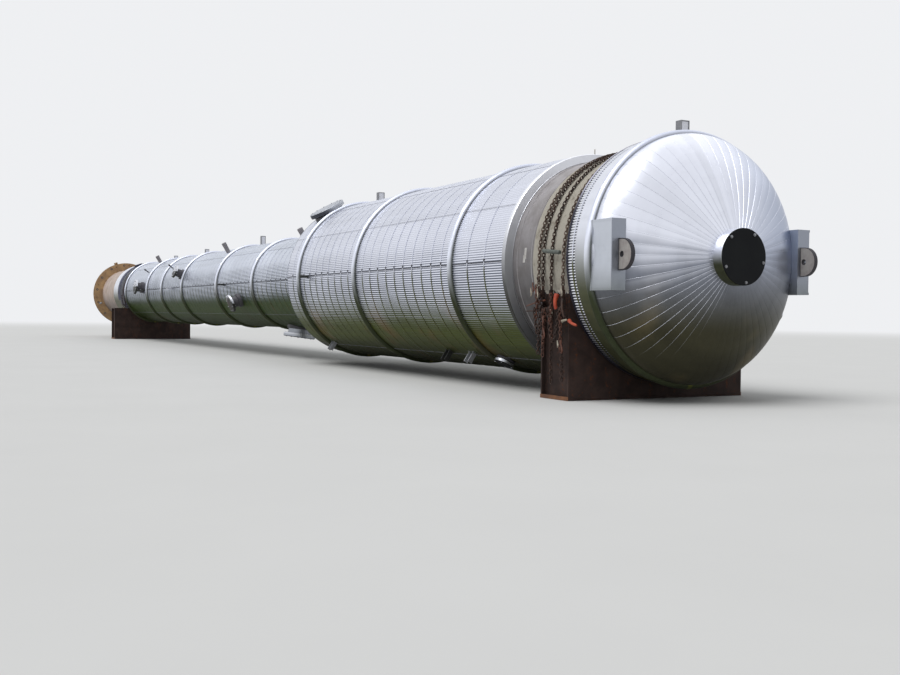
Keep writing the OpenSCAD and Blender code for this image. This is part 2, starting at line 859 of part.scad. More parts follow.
// A chain lies over the padding and runs down to the saddle on both sides. The near
// run ends at the top of its load binder.
module chain(station, r, lean, drop) {
    run = (r * sin(lean) + drop) / cos(lean);
    translate([station - total_len / 2, 0, axis_h]) rotate([0, -90, 0])
        rotate_extrude(angle = 180 - 2 * lean, start = lean - 90)
            translate([r, 0]) circle(r = chain_r, $fn = 16);
    chain_foot(station, r, lean, drop, -1, binder_r) translate([0, 0, binder_len])
        cylinder(r = chain_r, h = run - binder_len - binder_r * tan(lean), $fn = 16);
    chain_foot(station, r, lean, drop, 1, chain_r)
        cylinder(r = chain_r, h = run - chain_r * tan(lean), $fn = 16);
}

module front_chains() {
    color("sienna") for (step = front_chain_steps)
        chain(front_saddle_at + step, front_chain_r, chain_lean, hook_drop);
}

module rear_chains() {
    color("sienna") for (step = rear_chain_steps)
        chain(rear_saddle_at + step, rear_seat_r + chain_r, 0, rear_drop);
}

// A load binder tightens each chain on the near side
module load_binders() {
    color("orangered") {
        for (step = front_chain_steps)
            chain_foot(front_saddle_at + step, front_chain_r, chain_lean, hook_drop, -1, binder_r)
                cylinder(r = binder_r, h = binder_len);
        for (step = rear_chain_steps)
            chain_foot(rear_saddle_at + step, rear_seat_r + chain_r, 0, rear_drop, -1, binder_r)
                cylinder(r = binder_r, h = binder_len);
    }
}

base_ring();
chair_ring();
anchor_gussets();
skirt_shell();
bottom_head();
lower_shell();
cone_shell();
upper_shell();
top_head();
skirt_jacket();
lower_course(1);  // jacket_course_1
lower_course(2);  // jacket_course_2
lower_course(3);  // jacket_course_3
lower_course(4);  // jacket_course_4
lower_course(5);  // jacket_course_5
lower_course(6);  // jacket_course_6
cone_jacket();
upper_course(7);  // jacket_course_7
upper_course(8);  // jacket_course_8
upper_course(9);  // jacket_course_9
end_flashing();
head_strip();
lower_ring_bands();
upper_ring_bands();
head_ring();
head_jacket();
top_nozzle();
nozzle_collar();
nozzle_cover();
near_lug();
far_lug();
lug_boxes();
manway_neck();
manway_cover();
side_nozzles();
bottom_nozzles();
platform_clips();
slanted_stubs();
front_saddle();
rear_saddle();
front_padding();
rear_padding();
front_chains();
rear_chains();
load_binders();
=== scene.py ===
"""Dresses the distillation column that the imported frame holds.

The column lies on two transport saddles. Its jacket is corrugated sheet under narrow bands,
its top head is a fan of lapped gores, and it is held down by rusty chains with load binders.
Every length is in metres. A station is measured along the column from the foot of its base
ring, and an angle goes round it from the near side (0 degrees) over the top (90 degrees).
"""

from __future__ import annotations

import logging
import math
import random
from dataclasses import dataclass, field
from enum import Enum
from typing import Any, Iterable, Sequence

import bmesh
import bpy
from mathutils import Matrix, Vector, noise

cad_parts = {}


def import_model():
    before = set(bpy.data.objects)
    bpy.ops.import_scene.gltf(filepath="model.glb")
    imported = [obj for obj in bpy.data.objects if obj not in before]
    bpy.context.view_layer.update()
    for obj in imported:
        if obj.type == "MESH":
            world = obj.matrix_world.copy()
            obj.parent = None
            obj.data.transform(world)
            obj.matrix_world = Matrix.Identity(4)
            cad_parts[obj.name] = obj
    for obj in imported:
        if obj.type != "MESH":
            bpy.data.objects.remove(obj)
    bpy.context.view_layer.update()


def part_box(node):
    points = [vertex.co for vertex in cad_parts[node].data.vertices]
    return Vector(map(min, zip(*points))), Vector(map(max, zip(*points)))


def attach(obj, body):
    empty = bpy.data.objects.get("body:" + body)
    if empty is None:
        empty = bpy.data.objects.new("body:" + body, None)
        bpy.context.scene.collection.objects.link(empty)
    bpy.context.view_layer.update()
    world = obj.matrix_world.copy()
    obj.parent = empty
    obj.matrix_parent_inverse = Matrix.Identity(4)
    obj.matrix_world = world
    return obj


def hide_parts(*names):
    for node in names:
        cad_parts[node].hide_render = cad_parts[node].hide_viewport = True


LOG = logging.getLogger("column")
BODY = "root"
FULL_TURN = 360.0
MM = 0.001
QUARTER_X = Matrix.Rotation(math.pi / 2, 4, "X")
QUARTER_Y = Matrix.Rotation(math.pi / 2, 4, "Y")

Colour = tuple[float, float, float]
Profile = Sequence[tuple[float, float]]


class Side(Enum):
    """The two sides of the lying column, each with its angle on the jacket."""

    NEAR = 0.0
    FAR = 180.0

    @property
    def part_name(self) -> str:
        """The word that a piece's name starts with."""
        return self.name.lower()


class Value:
    """A number, vector or colour that a node gives, so that shader maths reads as Python."""

    def __init__(self, graph: "Graph", socket: bpy.types.NodeSocket) -> None:
        """Wraps one output of a node in a graph."""
        self.graph = graph
        self.socket = socket

    def maths(self, operation: str, other: Any = None, swapped: bool = False) -> "Value":
        """Adds a Math node for this value and any other, which comes first if swapped."""
        pair = [self] if other is None else [other, self] if swapped else [self, other]
        return self.graph.add("ShaderNodeMath", {"operation": operation}, dict(enumerate(pair)))

    def __add__(self, other: Any) -> "Value":
        """Sum."""
        return self.maths("ADD", other)

    __radd__ = __add__

    def __sub__(self, other: Any) -> "Value":
        """Difference."""
        return self.maths("SUBTRACT", other)

    def __rsub__(self, other: Any) -> "Value":
        """Difference from a number."""
        return self.maths("SUBTRACT", other, swapped=True)

    def __mul__(self, other: Any) -> "Value":
        """Product."""
        return self.maths("MULTIPLY", other)

    __rmul__ = __mul__

    def step(self, low: float, high: float) -> "Value":
        """A soft step from 0 at low to 1 at high, where low may be the larger."""
        ends = {"Value": self, "From Min": low, "From Max": high}
        return self.graph.add("ShaderNodeMapRange", {"interpolation_type": "SMOOTHSTEP"}, ends)

    def part(self, axis: str) -> "Value":
        """The component of a vector along X, Y or Z."""
        return self.graph.add("ShaderNodeSeparateXYZ", {}, {"Vector": self}, output=axis)


class Graph:
    """A node tree, with a method for each thing that the finishes need."""

    def __init__(self, tree: bpy.types.NodeTree) -> None:
        """Empties the node tree of a material or of the world, and takes it over."""
        self.tree = tree
        self.tree.nodes.clear()

    def add(
        self, kind: str, settings: dict[str, Any] | None = None,
        inputs: dict[Any, Any] | None = None, output: Any = 0,
    ) -> Value:
        """Adds one node: its settings first, then the values or links of its sockets.

        Args:
            kind: The node's type.
            settings: Attributes of the node.
            inputs: Values or links by socket name or number.
            output: The output that is given back, by name or number.

        Returns:
            That output.
        """
        node = self.tree.nodes.new(kind)
        for key, setting in (settings or {}).items():
            setattr(node, key, setting)
        for key, given in (inputs or {}).items():
            if isinstance(given, Value):
                self.tree.links.new(given.socket, node.inputs[key])
            else:
                node.inputs[key].default_value = given
        return Value(self, node.outputs[output])

    def place(self) -> Value:
        """The point on the surface, in metres."""
        return self.add("ShaderNodeTexCoord", output="Object")

    def looks(self, axis: str = "Z") -> Value:
        """How far the surface looks along an axis: 1 is along it, -1 against it."""
        return self.add("ShaderNodeNewGeometry", output="Normal").part(axis)

    def tone(self) -> Value:
        """The tone that a piece's mesh gives to its parts, round 0.5: random panel tone, and painted
        shade and highlight where a piece sets them.
        """
        return self.add("ShaderNodeAttribute", {"attribute_name": "tone"}, output="Fac")

    def stretched(self, place: Value, scale: Sequence[float]) -> Value:
        """A vector stretched by a factor along each axis."""
        return self.add("ShaderNodeVectorMath", {"operation": "MULTIPLY"}, {0: place, 1: scale})

    def noise(self, place: Value, scale: float, detail: float = 3.0, rough: float = 0.55) -> Value:
        """Smooth noise round 0.5, with scale lumps in a metre and detail finer layers."""
        sizes = {"Vector": place, "Scale": scale, "Detail": detail, "Roughness": rough}
        return self.add("ShaderNodeTexNoise", {}, sizes)

    def blend(self, share: Any, first: Any, second: Any) -> Value:
        """A mix of two colours.

        Args:
            share: The share of the second colour.
            first: A colour or the output of a node.
            second: A colour or the output of a node.

        Returns:
            The mixed colour.
        """
        colours = [(*c, 1.0) if isinstance(c, tuple) else c for c in (first, second)]
        inputs = {0: share, 6: colours[0], 7: colours[1]}
        return self.add("ShaderNodeMix", {"data_type": "RGBA"}, inputs, output=2)

    def dimmed(self, colour: Any, factor: Any) -> Value:
        """A colour multiplied by a number."""
        scale = self.add("ShaderNodeCombineXYZ", {}, {"X": factor, "Y": factor, "Z": factor})
        return self.add("ShaderNodeVectorMath", {"operation": "MULTIPLY"}, {0: colour, 1: scale})

    def bump(self, height: Value, depth: float) -> Value:
        """A normal bumped by a height from 0 to 1, where 1 stands for a depth in metres."""
        return self.add("ShaderNodeBump", {}, {"Strength": 1.0, "Distance": depth, "Height": height})

    def finish(self, **sockets: Any) -> None:
        """Closes the graph with a Principled shader; underscores stand for blanks."""
        names = {key.replace("_", " "): value for key, value in sockets.items()}
        self.end(self.add("ShaderNodeBsdfPrincipled", {}, names))

    def end(self, shader: Value, kind: str = "ShaderNodeOutputMaterial") -> None:
        """Joins a shader to an output node of the given type."""
        node = self.tree.nodes.new(kind)
        self.tree.links.new(shader.socket, node.inputs["Surface"])

    def seen_rays(self) -> Value:
        """1 for the rays that show the backdrop: straight, mirrored or through glass."""
        rays = [
            self.add("ShaderNodeLightPath", output=name)
            for name in ("Is Camera Ray", "Is Glossy Ray", "Is Transmission Ray")
        ]
        return rays[0].maths("MAXIMUM", rays[1]).maths("MAXIMUM", rays[2])


@dataclass(frozen=True)
class Finish:
    """A finish: the slot that it belongs to and the name of its material."""

    slot: str
    name: str

    def material(self) -> bpy.types.Material:
        """The finish's material, made at its first use."""
        full_name = f"{self.name}_finish"
        material = bpy.data.materials.get(full_name)
        if material is None:
            material = bpy.data.materials.new(full_name)
            material.use_nodes = True
            self.fill(Graph(material.node_tree))
        return material

    def fill(self, graph: Graph) -> None:
        """Builds the finish in an empty graph."""
        raise NotImplementedError


@dataclass(frozen=True)
class SheetMetal(Finish):
    """Bright jacket sheet, with painted shade and painted ground reflection on every face that looks
    down.
    """

    bright: Colour = (0.74, 0.76, 0.85)
    # Painted shade and ground reflection on faces that look down: its colours, limits and wander; the
    # high colour is a paler painted sky reflection higher up.
    film: Colour = (0.100, 0.108, 0.024)
    painted_shade_warm: Colour = (0.140, 0.095, 0.022)
    painted_shade_from: float = 0.02
    painted_shade_to: float = -0.18
    painted_shade_wander: float = 0.08
    painted_shade_high: Colour | None = None
    high_from: float = -0.80
    high_to: float = -0.10
    # The foot limits and share paint more shade near the bottom.
    foot_shade_from: float = -0.95
    foot_shade_to: float = -1.32
    foot_shade_share: float = 0.0
    edge: Colour = (1.0, 1.0, 1.0)
    # The side colour paints shade on faces that look along the side axis.
    side_shade: Colour = (0.42, 0.46, 0.58)
    side_shade_share: float = 0.0
    side_shade_axis: str = "Y"
    by_height: bool = False
    axis_z: float = 1.626
    roughness: float = 0.27
    streaks: Colour = (0.35, 9.0, 9.0)
    ripple: float = 1.2 * MM

    def fill(self, graph: Graph) -> None:
        """Builds the sheet.

        Args:
            graph: An empty graph.
        """
        place = graph.place()
        streak = graph.noise(graph.stretched(place, self.streaks), 1.0, 4.0)
        patch = graph.noise(place, 1.3, 2.0)
        fine = graph.noise(place, 60.0, 2.0)
        smudge = graph.noise(place, 5.0, 5.0, 0.65).step(0.56, 0.72)
        tone = graph.tone()
        # Painted shade and ground reflection: on faces that look down, or below the axis when by_height
        # is set.
        wander = (patch - 0.5) * (2 * self.painted_shade_wander) + (tone - 0.5) * self.painted_shade_wander
        lean = place.part("Z") - self.axis_z if self.by_height else graph.looks()
        film = (lean + wander).step(self.painted_shade_from, self.painted_shade_to)
        bright = graph.dimmed(self.bright, 0.80 + tone * 0.24 + streak * 0.16 - smudge * 0.05)
        # Painted shade on faces that look along the side axis.
        if self.side_shade_share:
            away = graph.looks(self.side_shade_axis).step(-0.1, 0.55) * self.side_shade_share
            bright = graph.blend(away, bright, self.side_shade)
        # The colour of the painted shade and reflection, patchy and streaked.
        shade_tint = graph.blend(patch.step(0.52, 0.72), self.film, self.painted_shade_warm)
        if self.painted_shade_high:
            height = (place.part("Z") - self.axis_z).step(self.high_from, self.high_to)
            shade_tint = graph.blend(height, shade_tint, self.painted_shade_high)
        # More painted shade near the bottom.
        foot = (place.part("Z") - self.axis_z).step(self.foot_shade_from, self.foot_shade_to)
        shade_tint = graph.dimmed(shade_tint, (0.55 + streak * 0.9) * (1.0 - foot * self.foot_shade_share))
        graph.finish(
            Base_Color=graph.blend(film, bright, shade_tint),
            Metallic=1.0 - film * 0.25,
            Specular_Tint=(*self.edge, 1.0),
            Roughness=self.roughness + streak * 0.10 + fine * 0.06 + film * 0.12 + smudge * 0.08,
            Normal=graph.bump(graph.noise(place, 9.0, 2.0) + fine * 0.15, self.ripple),
        )


@dataclass(frozen=True)
class WornPaint(Finish):
    """Paint, primer or rust: a ground colour with blotches, stains and worn spots, and painted shade on
    faces that look down where shade_below is set.
    """

    ground: Colour = (0.5, 0.4, 0.3)
    blotch: Colour = (0.4, 0.3, 0.2)
    worn: Colour = (0.16, 0.07, 0.03)
    worn_from: float = 0.60
    worn_to: float = 0.72
    scale: float = 4.0
    roughness: float = 0.6
    grain: float = 0.8 * MM
    metallic: float = 0.0
    shade_below: float = 0.0
    shade_from: float = 0.05
    shade_to: float = -0.7
    gloss: float = 0.5

    def fill(self, graph: Graph) -> None:
        """Builds the paint.

        Args:
            graph: An empty graph.
        """
        place = graph.place()
        cloud = graph.noise(place, self.scale, 5.0, 0.6)
        runs = graph.noise(graph.stretched(place, (3.0, 3.0, 0.6)), self.scale, 4.0)
        spots = graph.noise(place, self.scale * 7.0, 4.0, 0.65)
        fine = graph.noise(place, 140.0, 3.0)
        ground = graph.blend(cloud.step(0.35, 0.65), self.ground, self.blotch)
        light = 0.74 + runs * 0.34 + fine * 0.18
        # Painted shade on faces that look down.
        if self.shade_below:
            shade = graph.looks().step(self.shade_from, self.shade_to)
            light = light - shade * self.shade_below
        worn = (spots * 0.6 + runs * 0.4).step(self.worn_from, self.worn_to)
        graph.finish(
            Base_Color=graph.blend(worn, graph.dimmed(ground, light), self.worn),
            Metallic=self.metallic,
            Roughness=self.roughness + worn * 0.15 + (fine - 0.5) * 0.2,
            Specular_IOR_Level=self.gloss,
            Normal=graph.bump(fine * 0.6 + spots * 0.8 - worn * 0.3, self.grain),
        )


@dataclass(frozen=True)
class Belting(Finish):
    """Woven belting under the chains, stained and frayed."""

    ground: Colour = (0.42, 0.39, 0.33)
    stain: Colour = (0.20, 0.17, 0.13)
    thread: float = 6.0 * MM

    def fill(self, graph: Graph) -> None:
        """Builds the cloth.

        Args:
            graph: An empty graph.
        """
        place = graph.place()
        threads = []
        for axis in ("X", "Z"):
            wave = {"wave_type": "BANDS", "bands_direction": axis}
            size = {"Vector": place, "Scale": 0.314 / self.thread}
            threads.append(graph.add("ShaderNodeTexWave", wave, size))
        weave = threads[0] * 0.5 + threads[1] * 0.5
        cloud = graph.noise(place, 3.0, 5.0, 0.65)
        fuzz = graph.noise(place, 90.0, 3.0)
        stained = (cloud * 0.8 + graph.noise(place, 22.0, 3.0) * 0.2).step(0.50, 0.66)
        graph.finish(
            Base_Color=graph.dimmed(
                graph.blend(stained, self.ground, self.stain), 0.70 + weave * 0.18 + fuzz * 0.32
            ),
            Roughness=0.9 - weave * 0.08,
            Normal=graph.bump(weave * 0.7 + fuzz * 0.4, 1.5 * MM),
        )


@dataclass(frozen=True)
class StudioFloor(Finish):
    """Pale floor that takes the shadow and fades into the backdrop far away."""

    colour: Colour = (0.62, 0.62, 0.61)
    backdrop: Colour = (0.86, 0.87, 0.89)
    fade_from: float = 30.0
    fade_to: float = 75.0

    def fill(self, graph: Graph) -> None:
        """Builds the floor.

        Args:
            graph: An empty graph.
        """
        place = graph.place()
        reach = graph.add("ShaderNodeVectorMath", {"operation": "LENGTH"}, {0: place}, "Value")
        colour = graph.dimmed(self.colour, 0.97 + graph.noise(place, 0.7, 4.0) * 0.06)
        matt = graph.add("ShaderNodeBsdfDiffuse", {}, {"Color": colour})
        glow = graph.add("ShaderNodeEmission", {}, {"Color": (*self.backdrop, 1.0)})
        fade = reach.step(self.fade_from, self.fade_to) * graph.seen_rays()
        graph.end(graph.add("ShaderNodeMixShader", {}, {0: fade, 1: matt, 2: glow}))


# Sheet finishes: the painted shade colours and limits paint shade and ground reflection on faces that
# look down; high colours paint a paler sky reflection, foot shares paint shade near the bottom.
JACKET = SheetMetal(
    "corrugated_jacket", "corrugated_sheet", bright=(0.84, 0.86, 0.96), painted_shade_from=0.0,
    painted_shade_to=-0.36, film=(0.070, 0.088, 0.014), painted_shade_warm=(0.120, 0.088, 0.020),
    painted_shade_high=(0.13, 0.15, 0.21), foot_shade_share=0.72, edge=(0.86, 0.87, 0.85),
)
LOWER_JACKET = SheetMetal(
    "corrugated_jacket", "lower_corrugated_sheet", bright=(0.80, 0.83, 0.93),
    film=(0.030, 0.058, 0.006), painted_shade_warm=(0.046, 0.056, 0.010), painted_shade_from=0.13, painted_shade_to=-0.10,
    painted_shade_high=(0.10, 0.115, 0.15), high_from=-0.50, foot_shade_from=-0.62, foot_shade_to=-0.95, foot_shade_share=0.5,
    edge=(0.74, 0.76, 0.74),
)
PLAIN = SheetMetal(
    "plain_jacket", "plain_sheet", bright=(0.80, 0.82, 0.89), film=(0.080, 0.086, 0.042),
    painted_shade_warm=(0.095, 0.080, 0.042), painted_shade_from=0.30, painted_shade_to=-0.34,
)
STRIP = SheetMetal(
    "corrugated_jacket", "strip_sheet", bright=(0.92, 0.94, 1.0), film=(0.030, 0.031, 0.045),
    painted_shade_warm=(0.045, 0.045, 0.035), painted_shade_from=-0.10, painted_shade_to=-0.62,
)
# Trim: painted shade everywhere but near the top.
TRIM = SheetMetal(
    "plain_jacket", "trim_sheet", bright=(0.60, 0.60, 0.72), film=(0.026, 0.025, 0.042),
    painted_shade_warm=(0.035, 0.030, 0.042), painted_shade_from=0.62, painted_shade_to=0.34,
)
# Narrow bands: painted shade and ground reflection below the axis.
BANDING = SheetMetal(
    "band_jacket", "banding", bright=(0.74, 0.76, 0.85), painted_shade_from=0.03, painted_shade_to=-0.12,
    painted_shade_wander=0.03, by_height=True,
)
# Ring bands: painted shade on faces that look up.
RING_SHEET = SheetMetal(
    "band_jacket", "ring_band", bright=(0.80, 0.825, 0.91), film=(0.046, 0.056, 0.026),
    painted_shade_warm=(0.052, 0.052, 0.030), painted_shade_from=0.16, painted_shade_to=-0.28, painted_shade_wander=0.05,
    side_shade=(0.56, 0.59, 0.70), side_shade_share=0.75, side_shade_axis="Z", roughness=0.42,
)
# Head gores: painted shade on faces that look to the far side.
HEAD_SHEET = SheetMetal(
    "head_sheet", "head_gores", bright=(0.80, 0.82, 0.90), film=(0.048, 0.045, 0.024),
    painted_shade_warm=(0.120, 0.096, 0.044), painted_shade_high=(0.26, 0.28, 0.34), high_from=-0.85, high_to=0.05,
    painted_shade_from=0.16, painted_shade_to=-0.16, painted_shade_wander=0.12, side_shade=(0.34, 0.385, 0.50), side_shade_share=1.0,
    roughness=0.22, streaks=(9.0, 1.2, 1.2),
)
# Lug boxes: painted shade below the axis and on faces that look toward the head end.
BOX_SHEET = SheetMetal(
    "plain_jacket", "lug_box", bright=(0.62, 0.65, 0.71), film=(0.22, 0.24, 0.24),
    painted_shade_warm=(0.24, 0.24, 0.22), painted_shade_from=-0.10, painted_shade_to=-0.55, by_height=True,
    side_shade=(0.27, 0.29, 0.34), side_shade_share=0.9, side_shade_axis="X", roughness=0.33,
)
FLASHING = SheetMetal(
    "plain_jacket", "flashing", bright=(0.84, 0.85, 0.90), film=(0.050, 0.052, 0.048),
    painted_shade_warm=(0.060, 0.055, 0.045), painted_shade_from=0.40, painted_shade_to=-0.32, roughness=0.36,
)
FITTING = SheetMetal(
    "fitting_sheet", "fitting_sheet", bright=(0.56, 0.57, 0.61), film=(0.055, 0.056, 0.052),
    painted_shade_warm=(0.065, 0.055, 0.045), painted_shade_from=0.02, painted_shade_to=-0.30, roughness=0.38,
)
MANWAY = SheetMetal(
    "fitting_sheet", "manway_sheet", bright=(0.44, 0.46, 0.50), film=(0.070, 0.074, 0.092),
    painted_shade_warm=(0.085, 0.080, 0.080), painted_shade_from=0.02, painted_shade_to=-0.30, roughness=0.40,
)
DARK_STEEL = WornPaint(
    "fitting_steel", "fitting_steel", (0.060, 0.058, 0.070), (0.10, 0.095, 0.105),
    (0.10, 0.055, 0.03), shade_below=0.4,
)
STUB_STEEL = WornPaint(
    "fitting_steel", "stub_steel", (0.24, 0.225, 0.235), (0.17, 0.16, 0.17), (0.12, 0.09, 0.07),
    scale=18.0,
)
SEALANT = WornPaint(
    "band_jacket", "sealant", (0.050, 0.050, 0.058), (0.07, 0.07, 0.08), (0.10, 0.10, 0.10),
    grain=0.2 * MM,
)
OLD_SEALANT = WornPaint(
    "band_jacket", "old_sealant", (0.26, 0.27, 0.31), (0.20, 0.20, 0.23), (0.14, 0.13, 0.12),
    grain=0.2 * MM,
)
# Bare shell: strong painted shade from the top down.
SHELL = WornPaint(
    "shell_primer", "shell_primer", (0.36, 0.34, 0.35), (0.27, 0.25, 0.25), (0.15, 0.11, 0.08),
    shade_below=0.78, shade_from=0.85, shade_to=-0.65,
)
PALE_TAPE = WornPaint(
    "shell_primer", "pale_tape", (0.56, 0.55, 0.53), (0.40, 0.38, 0.36), (0.24, 0.20, 0.18),
    scale=20.0,
)
WELD = WornPaint(
    "shell_primer", "weld_bead", (0.34, 0.33, 0.34), (0.25, 0.23, 0.23), (0.14, 0.09, 0.06),
    metallic=0.4,
)
SKIRT = WornPaint(
    "skirt_primer", "skirt_primer", (0.49, 0.40, 0.36), (0.40, 0.32, 0.27), (0.24, 0.13, 0.07),
    shade_below=0.60,
)
BASE = WornPaint(
    "base_primer", "base_primer", (0.47, 0.30, 0.145), (0.33, 0.205, 0.11), (0.12, 0.07, 0.045),
    shade_below=0.35,
)
LUG = WornPaint(
    "lug_primer", "lug_primer", (0.36, 0.34, 0.32), (0.29, 0.26, 0.25), (0.21, 0.13, 0.10),
    scale=9.0,
)
RIM = WornPaint("lug_primer", "lug_rim", (0.018, 0.017, 0.024), (0.035, 0.03, 0.035), (0.09, 0.04, 0.03))
SADDLE = WornPaint(
    "rusty_saddle", "rusty_saddle", (0.026, 0.016, 0.014), (0.050, 0.030, 0.025),
    (0.11, 0.038, 0.014), worn_from=0.54, worn_to=0.70, roughness=0.75, gloss=0.25, grain=1.6 * MM,
)
CHAIN = WornPaint(
    "rusty_chain", "rusty_chain", (0.055, 0.026, 0.017), (0.030, 0.018, 0.015),
    (0.19, 0.070, 0.025), scale=12.0, roughness=0.65, grain=0.6 * MM, metallic=0.3,
)
BINDER = WornPaint(
    "binder_red", "binder_red", (0.50, 0.085, 0.030), (0.36, 0.045, 0.018), (0.07, 0.03, 0.02),
    scale=16.0,
)
DUSTY_CHAIN = WornPaint(
    "rusty_chain", "dusty_chain", (0.150, 0.105, 0.080), (0.075, 0.045, 0.033),
    (0.20, 0.085, 0.040), scale=12.0, roughness=0.75, grain=0.6 * MM,
)
RUSTY_CHAIN = WornPaint(
    "rusty_chain", "rusty_chain_ends", (0.115, 0.042, 0.024), (0.060, 0.026, 0.018),
    (0.22, 0.085, 0.035), scale=12.0, roughness=0.7, grain=0.6 * MM,
)
RUSTY_STEEL = WornPaint(
    "rusty_chain", "rusty_hooks", (0.135, 0.046, 0.026), (0.080, 0.032, 0.022), (0.24, 0.11, 0.065),
    scale=14.0, roughness=0.7, grain=0.6 * MM,
)
BARE_STEEL = WornPaint(
    "fitting_steel", "bare_steel", (0.40, 0.36, 0.29), (0.28, 0.24, 0.19), (0.12, 0.07, 0.04),
    scale=18.0,
)
PIPE_BAR = WornPaint(
    "fitting_steel", "pipe_bar", (0.115, 0.130, 0.115), (0.075, 0.085, 0.075), (0.06, 0.04, 0.03),
    scale=20.0,
)
COVER = WornPaint(
    "cover_black", "cover_black", (0.004, 0.0045, 0.006), (0.006, 0.007, 0.008), (0.02, 0.02, 0.02),
    worn_from=0.70, worn_to=0.82, roughness=0.55, gloss=0.12, grain=0.3 * MM,
)
BOLTS = WornPaint(
    "fitting_steel", "bolt_zinc", (0.33, 0.34, 0.36), (0.22, 0.22, 0.23), (0.16, 0.08, 0.04),
    metallic=0.7,
)
BELT = Belting("belting", "belting")
DARK_BELT = Belting("dark_belting", "dark_belting", (0.072, 0.075, 0.122), (0.035, 0.035, 0.045))
RUST_EDGE = WornPaint(
    "rusty_saddle", "rust_edge", (0.20, 0.085, 0.035), (0.12, 0.055, 0.030), (0.30, 0.13, 0.05),
    scale=6.0, roughness=0.8, grain=1.2 * MM,
)

PLAIN_NODES = {
    "base_ring": BASE,
    "chair_ring": BASE,
    "anchor_gussets": BASE,
    "skirt_shell": SKIRT,
    "bottom_head": SHELL,
    "lower_shell": SHELL,
    "cone_shell": SHELL,
    "upper_shell": SHELL,
    "top_head": SHELL,
    "top_nozzle": DARK_STEEL,
    "manway_neck": MANWAY,
    "side_nozzles": DARK_STEEL,
    "bottom_nozzles": FITTING,
    "slanted_stubs": STUB_STEEL,
}


@dataclass(frozen=True)
class Column:
    """Where the column lies in the frame, and the way from stations and angles to points."""

    foot_x: float
    axis_z: float

    def point(self, station: float, radius: float, angle: float) -> Vector:
        """A point given as the column's maker would.

        Args:
            station: The distance from the base ring's foot.
            radius: The distance from the axis.
            angle: Degrees from the near side, up over the top.

        Returns:
            The point in the frame.
        """
        turn = math.radians(angle)
        height = self.axis_z + radius * math.sin(turn)
        return Vector((self.foot_x + station, -radius * math.cos(turn), height))

    def ring(self, station: float, radius: float, count: int) -> list[Vector]:
        """Points all the way round at one station."""
        return [self.point(station, radius, FULL_TURN * i / count) for i in range(count)]

    def stand(self, station: float, radius: float, angle: float) -> Matrix:
        """A place for a fitting: its X lies along the column and its Z looks outward.

        Args:
            station: The distance from the base ring's foot.
            radius: The distance of its foot from the axis.
            angle: Degrees from the near side.

        Returns:
            The place as a matrix.
        """
        turn = math.radians(angle)
        out = Vector((0.0, -math.cos(turn), math.sin(turn)))
        along = Vector((1.0, 0.0, 0.0))
        rotation = Matrix((along, out.cross(along), out)).transposed().to_4x4()
        return Matrix.Translation(self.point(station, radius, angle)) @ rotation

    def reach(self, node: str) -> tuple[float, float]:
        """The stations where a node of the frame starts and ends."""
        low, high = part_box(node)
        return low.x - self.foot_x, high.x - self.foot_x

    def radius(self, node: str) -> float:
        """The outer radius of a node that goes all the way round."""
        low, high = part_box(node)
        return (high.z - low.z) / 2


@dataclass
class Route:
    """A path through given points, measured by its length."""

    points: Sequence[Vector]

    def __post_init__(self) -> None:
        """Adds up the lengths."""
        self.marks = [0.0]
        for before, after in zip(self.points, self.points[1:]):
            self.marks.append(self.marks[-1] + (after - before).length)

    @property
    def length(self) -> float:
        """The whole length."""
        return self.marks[-1]

    def at(self, distance: float) -> Vector:
        """The point at a distance from the start.

        Args:
            distance: The distance, which may lie past either end.

        Returns:
            The point.
        """
        i = 0
        while i < len(self.marks) - 2 and self.marks[i + 1] < distance:
            i += 1
        share = (distance - self.marks[i]) / (self.marks[i + 1] - self.marks[i])
        return self.points[i].lerp(self.points[i + 1], share)


